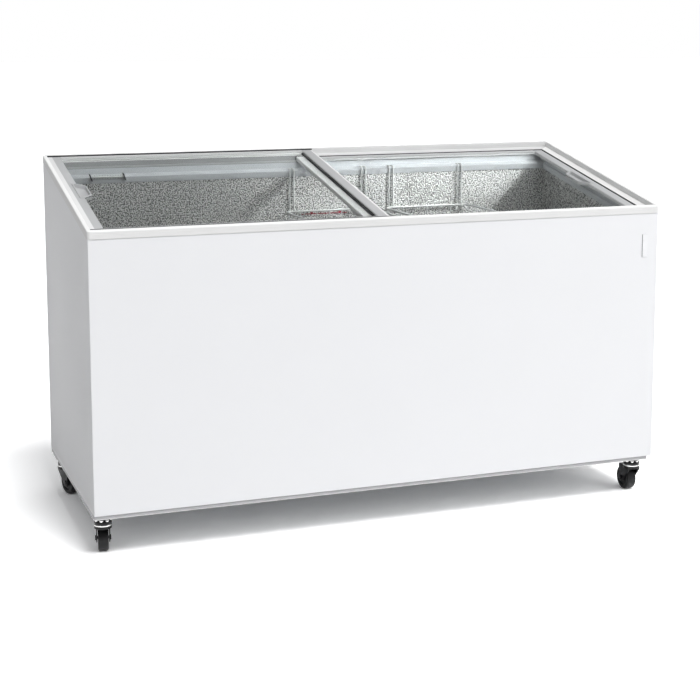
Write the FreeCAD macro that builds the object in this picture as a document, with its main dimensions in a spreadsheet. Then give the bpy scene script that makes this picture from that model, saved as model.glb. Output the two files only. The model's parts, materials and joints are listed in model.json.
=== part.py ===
import FreeCAD, Part
import os
import Sketcher

# Slant-top chest freezer with two sliding glass lids, two wire baskets and four swivel castors.
# Frame: X along the length (right), Y from front to back, Z up, origin on the floor at the centre.
# "Deck" is the slanted plane through the top of the frame's lip, and a "drop" is a height below it.
# An "inset" is a distance inwards from the outline of the top frame.

DIMENSIONS = (
    # overall
    ("body_length", 1555),
    ("body_depth", 655),
    ("front_height", 811),
    ("rear_height", 942),
    ("rail_height", 10),
    # cabinet
    ("frame_overhang", 1.5),
    ("sheet_gauge", 1),
    ("wall_long", 76),
    ("wall_end", 53),
    ("floor_insulation", 64),
    ("bay_length", 240),
    ("bay_top", 374),
    ("bay_insulation", 50),
    ("slot_height", 6),
    ("rear_slot_length", 140),
    ("rear_slot_rise", 60),
    ("rear_slot_pitch", 18),
    ("side_slot_length", 120),
    ("side_slot_margin", 100),
    ("side_slot_rise", 30),
    ("side_slot_pitch", 16),
    ("long_rail_setback", 4),
    ("long_rail_width", 20),
    ("end_rail_width", 62),
    ("rail_end_left", 2),
    ("rail_end_right", 15),
    # top frame and throat
    ("lip_width", 11),
    ("skirt_drop", 20.5),
    ("skirt_width", 3),
    ("upper_track_drop", 15),
    ("upper_track_inset", 37),
    ("lower_track_drop", 28.5),
    ("lower_track_inset", 50),
    ("frame_drop", 31),
    ("throat_wall", 5),
    ("throat_ledge_drop", 47),
    ("throat_ledge_gauge", 3),
    ("throat_band_drop", 64),
    ("throat_band_gauge", 2.5),
    ("seal_width", 4.5),
    ("mullion_seal_width", 5),
    # lids
    ("lid_thickness", 12),
    ("lid_gap", 0.5),
    ("track_gap", 0.3),
    ("upper_lid_end", 0),
    ("lid_overlap", 57),
    ("lid_bar_width", 12),
    ("glass_thickness", 5),
    ("glass_drop", 2),
    ("outer_strip_width", 34),
    ("mullion_strip_width", 31),
    ("lower_strip_width", 28),
    ("grip_length", 126),
    ("grip_taper", 26),
    ("grip_reach", 22),
    ("grip_overlap", 12),
    ("grip_wall", 3),
    ("grip_proud", 0.8),
    # baskets
    ("basket_length", 270),
    ("basket_height", 290),
    ("basket_side_gap", 9),
    ("basket_rim_drop", 45),
    ("basket_step_gap", 16),
    ("basket_gap", 36),
    ("post_margin", 12),
    ("stave_margin", 16),
    ("hanger_spacing", 220),
    ("hanger_width", 8),
    ("rim_wire", 6),
    ("mesh_wire", 3),
    ("hanger_wire", 4),
    ("wire_gap", 0.3),
    ("hook_reach", 16),
    # refrigeration
    ("evaporator_tube", 8),
    ("evaporator_low", 460),
    ("evaporator_pitch", 60),
    ("riser_setback", 80),
    ("compressor_radius", 68),
    ("compressor_height", 165),
    ("compressor_round", 30),
    ("compressor_setback", 217.5),
    ("mount_height", 18),
    ("mount_radius", 11),
    ("mount_spacing_x", 150),
    ("mount_spacing_y", 90),
    ("tray_length", 180),
    ("tray_depth", 120),
    ("tray_gauge", 3),
    ("terminal_reach", 14),
    ("terminal_width", 44),
    ("terminal_rise", 40),
    ("terminal_height", 55),
    ("pipe_radius", 3),
    ("pipe_rise", 14),
    ("drier_offset", 110),
    ("drier_radius", 10),
    ("drier_gap", 3),
    ("drier_rise", 60),
    ("drier_length", 110),
    ("clip_rise", 45),
    ("clip_height", 20),
    ("clip_width", 12),
    ("fan_height", 130),
    ("fan_radius", 70),
    ("fan_gap", 4),
    ("fan_setback", 137.5),
    ("hub_gap", 2),
    ("hub_length", 20),
    ("hub_radius", 16),
    ("shaft_engagement", 23),
    ("blade_chord", 34),
    ("blade_gauge", 1.6),
    ("blade_tip", 67),
    ("motor_radius", 26),
    ("motor_length", 45),
    ("motor_bore_depth", 29),
    ("stand_width", 30),
    ("stand_depth", 25),
    ("stand_setback", 10),
    ("shroud_gauge", 2),
    ("condenser_gap", 20),
    ("condenser_depth", 50),
    ("condenser_width", 190),
    ("condenser_height", 200),
    ("condenser_tube", 4),
    ("fin_gauge", 1),
    # drain
    ("drain_inset_x", 167.5),
    ("drain_inset_y", 157.5),
    ("drain_outer", 12),
    ("drain_inner", 9),
    ("drain_flange_radius", 20),
    ("drain_flange_gauge", 1.5),
    ("spigot_radius", 10.5),
    ("spigot_length", 15),
    ("plug_gap", 0.4),
    ("plug_stem", 18),
    ("plug_radius", 15),
    ("plug_gauge", 4),
    ("plug_tab_length", 18),
    ("plug_tab_height", 14),
    # controls
    ("control_setback", 207.5),
    ("control_rise", 217),
    ("control_front", 80),
    ("control_rear", 25),
    ("control_height", 48),
    ("dial_radius", 15),
    ("dial_gap", 0.5),
    ("dial_depth", 8),
    ("dial_slot_depth", 1.5),
    ("dial_slot_width", 3),
    ("dial_slot_length", 22),
    ("shaft_radius", 3),
    ("shaft_gap", 0.05),
    ("plate_gauge", 1.2),
    ("lamp_radius", 4),
    ("lamp_proud", 0.3),
    ("lamp_offset", 64),
    ("lamp_pitch", 18),
    ("thermostat_gap", 14),
    ("thermostat_depth", 30),
    ("thermostat_width", 44),
    ("thermostat_bore_depth", 16),
    ("dial_engagement", 14),
    ("thermostat_post", 2),
    ("thermostat_post_offset", 19),
    ("inlet_inset", 77.5),
    ("inlet_rise", 47),
    ("inlet_radius", 9),
    ("gland_length", 18),
    ("gland_flange_radius", 13),
    ("gland_nut_radius", 12.5),
    ("gland_nut_gauge", 5),
    ("gland_bore", 4),
    ("badge_inset", 42),
    ("badge_drop", 108),
    ("badge_width", 16),
    ("badge_length", 62),
    ("thermometer_inset", 111.5),
    ("thermometer_length", 105),
    ("thermometer_drop", 42),
    ("thermometer_height", 17),
    ("thermometer_depth", 5),
    ("thermometer_clip", 5),
    ("thermometer_clip_depth", 9),
    ("thermometer_clip_lap", 2),
    # castors
    ("wheel_top_gap", 1.5),
    ("castor_inset_x", 32.5),
    ("castor_inset_y", 56),
    ("plate_size", 60),
    ("plate_thickness", 3),
    ("plate_bolt_spacing", 46),
    ("plate_bolt_radius", 5),
    ("plate_bolt_height", 4),
    ("head_radius", 22.5),
    ("head_height", 28),
    ("head_gap", 0.5),
    ("wheel_radius", 32.5),
    ("wheel_width", 26),
    ("castor_trail", 25),
    ("tyre_round", 4),
    ("pin_radius", 5),
    ("pin_end_gap", 2),
    ("axle_radius", 4),
    ("running_gap", 0.05),
    ("fork_plate", 5),
    ("fork_gap", 1.5),
    ("fork_disc_radius", 22),
    ("fork_nose", 16),
    ("fork_tail", 12),
    ("fork_eye", 11),
    ("cheek_thickness", 3),
    ("axle_head_radius", 6.5),
    ("axle_head_height", 2.5),
    ("swing_front_left", -10),
    ("swing_front_right", 0),
    ("swing_rear_left", 200),
    ("swing_rear_right", 165),
)

document = FreeCAD.newDocument("chest_freezer")
sheet = document.addObject("Spreadsheet::Sheet", "dims")
for row, (alias, value) in enumerate(DIMENSIONS, start=1):
    sheet.set(f"A{row}", alias)
    sheet.set(f"B{row}", str(value))
    sheet.setAlias(f"B{row}", alias)
document.recompute()

X_AXIS = FreeCAD.Rotation(FreeCAD.Vector(0, 1, 0), 90)
Y_AXIS = FreeCAD.Rotation(FreeCAD.Vector(1, 0, 0), -90)
Z_AXIS = FreeCAD.Rotation()
AXES = {"x": X_AXIS, "y": Y_AXIS, "z": Z_AXIS}

# How many of each repeated feature
REAR_SLOTS = 9
SIDE_SLOTS = 8
SIDE_BANKS = 3
FAN_BLADES = 4
CONDENSER_FINS = 16
CONDENSER_LINES = 5
EVAPORATOR_TURNS = 4
BASKET_POSTS = 7
BASKET_STAVES = 9
PILOT_LAMPS = 3
BLADE_PITCH = 28

# Expressions shared by several pieces
past = "1"
castor_height = ("(2 * dims.wheel_radius + dims.wheel_top_gap + dims.fork_plate + dims.head_gap"
                 " + dims.head_height + dims.plate_thickness)")
left_side = "(-dims.body_length / 2)"
right_side = "(dims.body_length / 2)"
front_side = "(-dims.body_depth / 2)"
rear_side = "(dims.body_depth / 2)"
slope = "((dims.rear_height - dims.front_height) / dims.body_depth)"
deck_foot = f"({castor_height} + dims.rail_height)"
panel_inset = "dims.frame_overhang"
foam_inset = "(dims.frame_overhang + dims.sheet_gauge)"
liner_low = f"({deck_foot} + dims.sheet_gauge + dims.floor_insulation)"
liner_floor = f"({liner_low} + dims.sheet_gauge)"
liner_drop = "(dims.throat_ledge_drop + dims.throat_ledge_gauge)"
bay_left = f"({right_side} - {foam_inset} - dims.bay_length)"
bay_middle = f"({bay_left} + dims.bay_length / 2)"
step_left = f"({bay_left} - dims.sheet_gauge - dims.bay_insulation)"
step_top = "(dims.bay_top + dims.bay_insulation)"
seam_height = "(dims.bay_top + dims.sheet_gauge)"
bay_foot = f"({deck_foot} + dims.sheet_gauge)"
sky = "(dims.rear_height + dims.body_depth)"
throat_face = "(dims.wall_long + dims.throat_band_gauge)"
drain_spot = (f"({left_side} + dims.drain_inset_x)", f"({front_side} + dims.drain_inset_y)")
control_spot = (f"({rear_side} - dims.control_setback)", f"({deck_foot} + dims.control_rise)")
inlet_x = f"({right_side} - dims.inlet_inset)"
inlet_z = f"({deck_foot} + dims.inlet_rise)"
right_basket_centre = f"({step_left} - dims.basket_step_gap - dims.basket_length / 2)"
left_basket_centre = f"({right_basket_centre} - dims.basket_length - dims.basket_gap)"
upper_lid_drop = "(dims.upper_track_drop - dims.track_gap - dims.lid_thickness)"
lower_lid_drop = "(dims.lower_track_drop - dims.track_gap - dims.lid_thickness)"
upper_lid_inset = "(dims.lip_width + dims.seal_width + dims.lid_gap)"
lower_lid_inset = "(dims.upper_track_inset + dims.seal_width + dims.lid_gap)"


def place(thing, values):
    """Bind properties of a thing to expressions."""
    for key, expression in values.items():
        thing.setExpression(key, expression)
    return thing


def level(height):
    """A level plane, as a function of y."""
    return lambda y: f"({height})"


def deck(drop):
    """A plane that follows the deck at a drop below it, as a function of y."""
    return lambda y: f"(dims.front_height + (({y}) - {front_side}) * {slope} - ({drop}))"


def block(name, x_span, y_span, z_span):
    """A plain box."""
    thing = document.addObject("Part::Box", name)
    for size, axis, span in zip(("Length", "Width", "Height"), "xyz", (x_span, y_span, z_span)):
        thing.setExpression(size, f"({span[1]}) - ({span[0]})")
        thing.setExpression(f"Placement.Base.{axis}", f"{span[0]}")
    return thing


def slab(name, x_span, y_span, bottom, top, rear_x_span=None):
    """An upright block whose bottom and top are planes, and whose width may change towards the rear."""
    thing = document.addObject("Part::Wedge", name)
    rear_x_span = rear_x_span or x_span
    low, high = y_span
    return place(thing, {
        "Ymin": low,
        "Ymax": high,
        "Xmin": x_span[0],
        "Xmax": x_span[1],
        "X2min": rear_x_span[0],
        "X2max": rear_x_span[1],
        "Zmin": bottom(low),
        "Zmax": top(low),
        "Z2min": bottom(high),
        "Z2max": top(high),
    })


def inset_x(inset):
    """The X span that lies this far inside both ends."""
    return (f"({left_side} + {inset})", f"({right_side} - {inset})")


def inset_y(inset):
    """The Y span that lies this far inside the front and the rear."""
    return (f"({front_side} + {inset})", f"({rear_side} - {inset})")


def around(centre, width):
    """A span of this width about a centre."""
    return (f"({centre} - {width} / 2)", f"({centre} + {width} / 2)")


def beyond(span):
    """A span that runs past another at both ends, for a cutting tool."""
    return (f"({span[0]} - {past})", f"({span[1]} + {past})")


def rod(name, start, axis, length, radius):
    """A round bar from a start point along an axis."""
    thing = document.addObject("Part::Cylinder", name)
    thing.Placement = FreeCAD.Placement(FreeCAD.Vector(), AXES[axis])
    place(thing, {"Radius": radius, "Height": length})
    for letter, expression in zip("xyz", start):
        thing.setExpression(f"Placement.Base.{letter}", f"{expression}")
    return thing


def cut(name, base, *tools):
    """The base less its tools."""
    for number, tool in enumerate(tools, start=1):
        last = number == len(tools)
        thing = document.addObject("Part::Cut", name if last else f"{name}_cut{number}")
        thing.Base = base
        thing.Tool = tool
        base = thing
    return base


def fuse(name, *things):
    """One solid from several that touch or overlap."""
    thing = document.addObject("Part::MultiFuse", name)
    thing.Shapes = list(things)
    thing.Refine = True
    return thing


def common(name, base, tool):
    """What two solids share."""
    thing = document.addObject("Part::Common", name)
    thing.Base = base
    thing.Tool = tool
    return thing


def group(name, *things):
    """Separate solids kept in one sub-part."""
    thing = document.addObject("Part::Compound", name)
    thing.Links = list(things)
    return thing


def outline_pad(name, points, length):
    """A closed outline in the local YZ plane, padded along X."""
    body = document.addObject("PartDesign::Body", name)
    sketch = body.newObject("Sketcher::SketchObject", f"{name}_outline")
    plane = [feature for feature in body.Origin.OriginFeatures if feature.Role == "YZ_Plane"][0]
    sketch.AttachmentSupport = (plane, [""])
    sketch.MapMode = "FlatFace"
    count = len(points)
    seed = [[sheet_value(expression) for expression in point] for point in points]
    for index in range(count):
        start = FreeCAD.Vector(*seed[index], 0)
        end = FreeCAD.Vector(*seed[(index + 1) % count], 0)
        sketch.addGeometry(Part.LineSegment(start, end))
    for index in range(count):
        sketch.addConstraint(Sketcher.Constraint("Coincident", index, 2, (index + 1) % count, 1))
    for index, point in enumerate(points):
        for kind, expression, value in zip(("DistanceX", "DistanceY"), point, seed[index]):
            number = sketch.addConstraint(Sketcher.Constraint(kind, index, 1, float(value)))
            sketch.setExpression(f"Constraints[{number}]", expression)
    pad = body.newObject("PartDesign::Pad", f"{name}_pad")
    pad.Profile = sketch
    pad.Midplane = True
    pad.setExpression("Length", length)
    body.Tip = pad
    return body


def sheet_value(expression):
    """The present value of an expression."""
    return float(sheet.evalExpression(expression))


parts = []


def keep(thing):
    """List a finished sub-part, whose label names its file."""
    thing.Label = thing.Name
    parts.append(thing)
    return thing


# ---------------------------------------------------------------- cabinet skin

def build_panels():
    """Outer sheet panels, with air slots at the compressor bay."""
    foot = level(deck_foot)
    skirt = deck("dims.skirt_drop")
    front = (f"({front_side} + {panel_inset})", f"({front_side} + {foam_inset})")
    rear = (f"({rear_side} - {foam_inset})", f"({rear_side} - {panel_inset})")
    long_x = inset_x(panel_inset)
    keep(slab("front_panel", long_x, front, foot, skirt))
    left = (long_x[0], f"({left_side} + {foam_inset})")
    right = (f"({right_side} - {foam_inset})", long_x[1])
    keep(slab("left_panel", left, inset_y(foam_inset), foot, skirt))
    keep(slab("right_panel", right, inset_y(foam_inset), level(seam_height), skirt))

    slots = []
    for line in range(REAR_SLOTS):
        low = f"({deck_foot} + dims.rear_slot_rise + {line} * dims.rear_slot_pitch)"
        slots.append(block(f"rear_slot_{line}", around(bay_middle, "dims.rear_slot_length"),
                           beyond(rear), (low, f"({low} + dims.slot_height)")))
    bore = rod("inlet_hole", (inlet_x, beyond(rear)[0], inlet_z), "y",
               f"dims.sheet_gauge + 2 * {past}", "dims.inlet_radius")
    blank = slab("rear_blank", long_x, rear, foot, skirt)
    keep(cut("rear_panel", blank, group("rear_slots", *slots), bore))

    slots = []
    spread = f"({rear_side} - {foam_inset} - dims.side_slot_margin - dims.side_slot_length / 2)"
    for bank in range(SIDE_BANKS):
        centre = f"(({2 * bank / (SIDE_BANKS - 1) - 1}) * {spread})"
        for line in range(SIDE_SLOTS):
            low = f"({deck_foot} + dims.side_slot_rise + {line} * dims.side_slot_pitch)"
            slots.append(block(f"side_slot_{bank}_{line}", beyond(right),
                               around(centre, "dims.side_slot_length"),
                               (low, f"({low} + dims.slot_height)")))
    bore = rod("dial_hole", (beyond(right)[0], *control_spot), "x",
               f"dims.sheet_gauge + 2 * {past}", "dims.dial_radius + dims.dial_gap")
    blank = block("cover_blank", right, inset_y(foam_inset), (deck_foot, seam_height))
    keep(cut("compressor_cover", blank, group("side_slots", *slots), bore))

    floor = block("bottom_blank", inset_x(foam_inset), inset_y(foam_inset), (deck_foot, bay_foot))
    keep(cut("bottom_panel", floor, drain_bore("bottom_bore")))


def drain_bore(name):
    """Clearance bore for the drain tube through the cabinet floor."""
    return rod(name, (*drain_spot, castor_height), "z", f"{liner_floor} - {castor_height} + {past}",
               "dims.drain_outer + dims.wire_gap")


def build_base():
    """Base rails under the bottom panel."""
    height = (castor_height, deck_foot)
    span_x = (f"({left_side} + dims.rail_end_left)", f"({right_side} - dims.rail_end_right)")
    inner = "(dims.long_rail_setback + dims.long_rail_width)"
    front = (f"({front_side} + dims.long_rail_setback)", f"({front_side} + {inner})")
    rear = (f"({rear_side} - {inner})", f"({rear_side} - dims.long_rail_setback)")
    keep(group("long_base_rails", block("front_base_rail", span_x, front, height),
               block("rear_base_rail", span_x, rear, height)))
    near = f"({left_side} + dims.rail_end_left)"
    far = f"({right_side} - dims.rail_end_left)"
    left = block("end_rail_left", (near, f"({near} + dims.end_rail_width)"), inset_y(inner), height)
    right = block("end_rail_right", (f"({far} - dims.end_rail_width)", far), inset_y(inner), height)
    keep(group("end_base_rails", left, right))


def build_foam():
    """Foamed-in insulation between the skin and the liner, with room for coil, throat and bay."""
    blank = slab("foam_blank", inset_x(foam_inset), inset_y(foam_inset),
                 level(bay_foot), deck("dims.frame_drop"))
    over = level(sky)
    back = "(dims.lower_track_inset - dims.throat_wall)"
    mouth = slab("foam_mouth", inset_x(back), inset_y(back), deck(liner_drop), over)
    coil = "(dims.sheet_gauge + dims.evaporator_tube + 2 * dims.wire_gap)"
    end_x = inset_x(f"(dims.wall_end - {coil})")
    long_y = inset_y(f"(dims.wall_long - {coil})")
    well = slab("foam_well", (end_x[0], step_left), long_y, level(liner_low), over)
    top = f"({step_top} - dims.sheet_gauge)"
    upper = slab("foam_upper_well", (f"({step_left} - {past})", end_x[1]), long_y, level(top), over)
    bay = block("foam_bay", (f"({bay_left} - dims.sheet_gauge)", right_side),
                inset_y(f"({foam_inset} - {past})"), (castor_height, seam_height))
    keep(cut("insulation_foam", blank, mouth, well, upper, bay, drain_bore("foam_bore")))


def build_liner():
    """Inner tank: four walls, and a floor that steps up over the compressor bay."""
    top = deck(liner_drop)
    outer = "(dims.wall_end - dims.sheet_gauge)"
    outer_y = "(dims.wall_long - dims.sheet_gauge)"
    front = (f"({front_side} + {outer_y})", f"({front_side} + dims.wall_long)")
    rear = (f"({rear_side} - dims.wall_long)", f"({rear_side} - {outer_y})")
    long_walls = []
    for name, span in (("liner_front", front), ("liner_rear", rear)):
        wall = slab(f"{name}_blank", inset_x(outer), span, level(liner_low), top)
        notch = block(f"{name}_notch", (step_left, right_side), beyond(span),
                      ("0", f"({step_top} - dims.sheet_gauge)"))
        long_walls.append(cut(name, wall, notch))
    keep(group("liner_long_walls", *long_walls))
    inside_y = inset_y("dims.wall_long")
    left = slab("liner_left", (f"({left_side} + {outer})", f"({left_side} + dims.wall_end)"),
                inside_y, level(liner_low), top)
    right = slab("liner_right", (f"({right_side} - dims.wall_end)", f"({right_side} - {outer})"),
                 inside_y, level(f"({step_top} - dims.sheet_gauge)"), top)
    keep(group("liner_ends", left, right))
    low = (liner_low, liner_floor)
    inside_x = inset_x("dims.wall_end")
    floor = block("liner_floor_sheet", (inside_x[0], step_left), inside_y, low)
    riser = block("liner_riser", (f"({step_left} - dims.sheet_gauge)", step_left), inside_y,
                  (liner_low, step_top))
    shelf = block("liner_shelf", (f"({step_left} - dims.sheet_gauge)", inside_x[1]), inside_y,
                  (f"({step_top} - dims.sheet_gauge)", step_top))
    blank = fuse("liner_floor_blank", floor, riser, shelf)
    keep(cut("liner_floor", blank, drain_bore("liner_bore")))


def build_bay():
    """Sheet that closes the foam off from the compressor bay, and the machinery inside it."""
    inside_y = inset_y(foam_inset)
    wall = block("bay_wall", (f"({bay_left} - dims.sheet_gauge)", bay_left), inside_y,
                 (bay_foot, seam_height))
    roof = block("bay_roof", (f"({bay_left} - dims.sheet_gauge)", f"({right_side} - {foam_inset})"),
                 inside_y, ("dims.bay_top", seam_height))
    keep(fuse("bay_sheet", wall, roof))
    build_compressor()
    build_fan()


def build_compressor():
    """Compressor on its tray and rubber feet, with the filter drier and pipes."""
    middle_y = f"({rear_side} - dims.compressor_setback)"
    feet = []
    tray_low = f"({bay_foot} + dims.mount_height)"
    for number, (side, end) in enumerate(((-1, -1), (-1, 1), (1, -1), (1, 1))):
        spot = (f"({bay_middle} + {side} * dims.mount_spacing_x / 2)",
                f"({middle_y} + {end} * dims.mount_spacing_y / 2)", bay_foot)
        feet.append(rod(f"compressor_foot_{number}", spot, "z", "dims.mount_height", "dims.mount_radius"))
    keep(group("compressor_feet", *feet))
    shell_low = f"({tray_low} + dims.tray_gauge)"
    tray = block("compressor_tray", around(bay_middle, "dims.tray_length"),
                 around(middle_y, "dims.tray_depth"), (tray_low, shell_low))
    can = rod("compressor_can", (bay_middle, middle_y, shell_low), "z", "dims.compressor_height",
              "dims.compressor_radius")
    rounded = document.addObject("Part::Fillet", "compressor_shell")
    rounded.Base = can
    shoulder = sheet_value("dims.compressor_round")
    rounded.Edges = [(3, shoulder, shoulder)]
    box_low = f"({shell_low} + dims.terminal_rise)"
    box = block("terminal_box",
                (f"({bay_middle} - dims.compressor_radius - dims.terminal_reach)", bay_middle),
                around(middle_y, "dims.terminal_width"), (box_low, f"({box_low} + dims.terminal_height)"))
    keep(fuse("compressor", rounded, tray, box))

    drier_x = f"({bay_left} + dims.drier_gap + dims.drier_radius)"
    drier_y = f"({middle_y} - dims.drier_offset)"
    drier_low = f"({bay_foot} + dims.drier_rise)"
    drier_top = f"({drier_low} + dims.drier_length)"
    barrel = rod("drier_barrel", (drier_x, drier_y, drier_low), "z", "dims.drier_length",
                 "dims.drier_radius")
    clip_low = f"({drier_low} + dims.clip_rise)"
    clip = block("drier_clip", (bay_left, drier_x), around(drier_y, "dims.clip_width"),
                 (clip_low, f"({clip_low} + dims.clip_height)"))
    keep(fuse("filter_drier", barrel, clip))
    shell_top = f"({shell_low} + dims.compressor_height)"
    pipe_top = f"({shell_top} + dims.pipe_rise)"
    pipe = "dims.pipe_radius"
    riser = rod("discharge_riser", (drier_x, drier_y, drier_top), "z", f"{pipe_top} - {drier_top}", pipe)
    run = rod("discharge_run", (drier_x, drier_y, pipe_top), "y", "dims.drier_offset", pipe)
    reach = rod("discharge_entry", (drier_x, middle_y, pipe_top), "x", f"{bay_middle} - {drier_x}", pipe)
    drop = rod("discharge_drop", (bay_middle, middle_y, shell_top), "z", "dims.pipe_rise", pipe)
    keep(fuse("refrigerant_pipes", riser, run, reach, drop))


def build_fan():
    """Fan and motor that draw air in through the finned condenser."""
    motor_y = f"({front_side} + dims.fan_setback)"
    hub_y = f"({motor_y} - dims.hub_gap - dims.hub_length)"
    axis_z = f"({deck_foot} + dims.fan_height)"
    shroud_rear = f"({hub_y} - dims.fan_gap)"
    shroud_y = (f"({shroud_rear} - dims.shroud_gauge)", shroud_rear)
    width = around(bay_middle, "dims.condenser_width")
    height = (bay_foot, f"({bay_foot} + dims.condenser_height)")
    hole = rod("shroud_hole", (bay_middle, beyond(shroud_y)[0], axis_z), "y",
               f"dims.shroud_gauge + 2 * {past}", "dims.fan_radius + dims.fan_gap")
    keep(cut("fan_shroud", block("shroud_plate", width, shroud_y, height), hole))
    motor = rod("motor_can", (bay_middle, motor_y, axis_z), "y", "dims.motor_length", "dims.motor_radius")
    stand_y = f"({motor_y} + dims.stand_setback)"
    stand = block("motor_stand", around(bay_middle, "dims.stand_width"),
                  (stand_y, f"({stand_y} + dims.stand_depth)"), (bay_foot, axis_z))
    socket = rod("motor_bore", (bay_middle, f"({motor_y} - {past})", axis_z), "y",
                 f"dims.motor_bore_depth + {past}", "dims.shaft_radius + dims.shaft_gap")
    keep(cut("fan_motor", fuse("motor_blank", motor, stand), socket))
    hub = rod("fan_hub", (bay_middle, hub_y, axis_z), "y", "dims.hub_length", "dims.hub_radius")
    shaft = rod("fan_shaft", (bay_middle, hub_y, axis_z), "y",
                "dims.hub_length + dims.hub_gap + dims.shaft_engagement", "dims.shaft_radius")
    blades = []
    for number in range(FAN_BLADES):
        blade = document.addObject("Part::Box", f"fan_blade_{number}")
        turn = FreeCAD.Rotation(FreeCAD.Vector(0, 1, 0), 360 / FAN_BLADES * number)
        pitch = FreeCAD.Rotation(FreeCAD.Vector(0, 0, 1), BLADE_PITCH)
        blade.Placement = FreeCAD.Placement(FreeCAD.Vector(), turn.multiply(pitch))
        place(blade, {
            "Length": "dims.blade_chord",
            "Width": "dims.blade_gauge",
            "Height": "dims.blade_tip",
            "Placement.Base.x": bay_middle,
            "Placement.Base.y": f"{motor_y} - dims.hub_length",
            "Placement.Base.z": axis_z,
        })
        blades.append(blade)
    keep(fuse("fan_blade", hub, shaft, *blades))

    coil_rear = f"({shroud_y[0]} - dims.condenser_gap)"
    coil_front = f"({coil_rear} - dims.condenser_depth)"
    fins = []
    for number in range(CONDENSER_FINS):
        low = (f"({width[0]} + {number} * (dims.condenser_width - dims.fin_gauge)"
               f" / {CONDENSER_FINS - 1})")
        fins.append(block(f"condenser_fin_{number}", (low, f"({low} + dims.fin_gauge)"),
                          (coil_front, coil_rear), height))
    for line in range(CONDENSER_LINES):
        line_z = f"({bay_foot} + dims.condenser_height * {(line + 0.5) / CONDENSER_LINES})"
        for bank, share in enumerate((0.25, 0.75)):
            start = (width[0], f"({coil_front} + dims.condenser_depth * {share})", line_z)
            fins.append(rod(f"condenser_tube_{line}_{bank}", start, "x", "dims.condenser_width",
                            "dims.condenser_tube"))
    keep(fuse("condenser", *fins))


def build_evaporator():
    """Flat-sided evaporator tube, wound round the tank in the foam."""
    size = "dims.evaporator_tube"
    inner = "(dims.wall_long - dims.sheet_gauge - dims.wire_gap)"
    inner_x = "(dims.wall_end - dims.sheet_gauge - dims.wire_gap)"
    turns = []
    for number in range(EVAPORATOR_TURNS):
        low = f"(dims.evaporator_low + {number} * dims.evaporator_pitch)"
        height = (low, f"({low} + {size})")
        outer = block(f"turn_outer_{number}", inset_x(f"({inner_x} - {size})"),
                      inset_y(f"({inner} - {size})"), height)
        core = block(f"turn_core_{number}", inset_x(inner_x), inset_y(inner), beyond(height))
        turns.append(cut(f"turn_{number}", outer, core))
    riser_y = f"({rear_side} - {inner} - dims.riser_setback)"
    riser_top = f"(dims.evaporator_low + {EVAPORATOR_TURNS - 1} * dims.evaporator_pitch + {past})"
    riser = block("turn_riser", (f"({left_side} + {inner_x} - {size})", f"({left_side} + {inner_x})"),
                  (riser_y, f"({riser_y} + {size})"), ("dims.evaporator_low", riser_top))
    keep(fuse("evaporator_coil", riser, *turns))


# ---------------------------------------------------------------- top frame, throat and seals

def ring(name, outer, inner, bottom, top):
    """An upright ring between two insets."""
    solid = slab(f"{name}_outer", inset_x(outer), inset_y(outer), bottom, top)
    core = slab(f"{name}_core", inset_x(inner), inset_y(inner), level("0"), level(sky))
    return cut(name, solid, core)


def mitre(name, depth, rear):
    """Upright prism that holds the front or rear side of a ring, with its mitred ends."""
    narrow = inset_x(f"({depth} + {past})")
    wide = inset_x(f"(-{past})")
    height = (level("0"), level(sky))
    if rear:
        span = (f"({rear_side} - {depth} - {past})", f"({rear_side} + {past})")
        return slab(name, narrow, span, *height, rear_x_span=wide)
    span = (f"({front_side} - {past})", f"({front_side} + {depth} + {past})")
    return slab(name, wide, span, *height, rear_x_span=narrow)


def split_ring(whole, names, depth):
    """Split a ring into its front, rear, left and right sides with mitred joints."""
    front = mitre(f"{names[0]}_mitre", depth, rear=False)
    rear = mitre(f"{names[1]}_mitre", depth, rear=True)
    keep(common(names[0], whole, front))
    keep(common(names[1], whole, rear))
    ends = (("left", left_side, "0"), ("right", "0", right_side))
    for name, (side, low, high) in zip(names[2:], ends):
        half = block(f"{name}_half", (low, high), beyond((front_side, rear_side)), ("0", sky))
        keep(cut(name, common(f"{name}_side", whole, half), front, rear))


def build_top_frame():
    """Two-level top frame: an outer lip, the upper lid's track and, inside it, the lower lid's track."""
    lip = ring("frame_lip", "0", "dims.lip_width", deck("dims.skirt_drop"), deck("0"))
    upper = ring("frame_upper_track", "dims.skirt_width", "dims.upper_track_inset",
                 deck("dims.frame_drop"), deck("dims.upper_track_drop"))
    lower = ring("frame_lower_track", f"(dims.upper_track_inset - {past})", "dims.lower_track_inset",
                 deck("dims.frame_drop"), deck("dims.lower_track_drop"))
    whole = fuse("top_frame", lip, upper, lower)
    names = [f"top_frame_{side}" for side in ("front", "rear", "left", "right")]
    split_ring(whole, names, "dims.lower_track_inset")


def spans_from(side, depths):
    """Spans between pairs of insets from one side of the outline."""
    sign = "+" if side in (left_side, front_side) else "-"
    pairs = [(f"({side} {sign} {near})", f"({side} {sign} {far})") for near, far in depths]
    return pairs if sign == "+" else [(far, near) for near, far in pairs]


def throat_side(name, wall, leg, band):
    """One throat moulding: an upright wall, a ledge that carries the baskets, and a band below it."""
    ledge = deck("dims.throat_ledge_drop")
    return fuse(name,
                slab(f"{name}_wall", *wall, ledge, deck("dims.frame_drop")),
                slab(f"{name}_leg", *leg, deck(liner_drop), ledge),
                slab(f"{name}_band", *band, deck("dims.throat_band_drop"), ledge))


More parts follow.
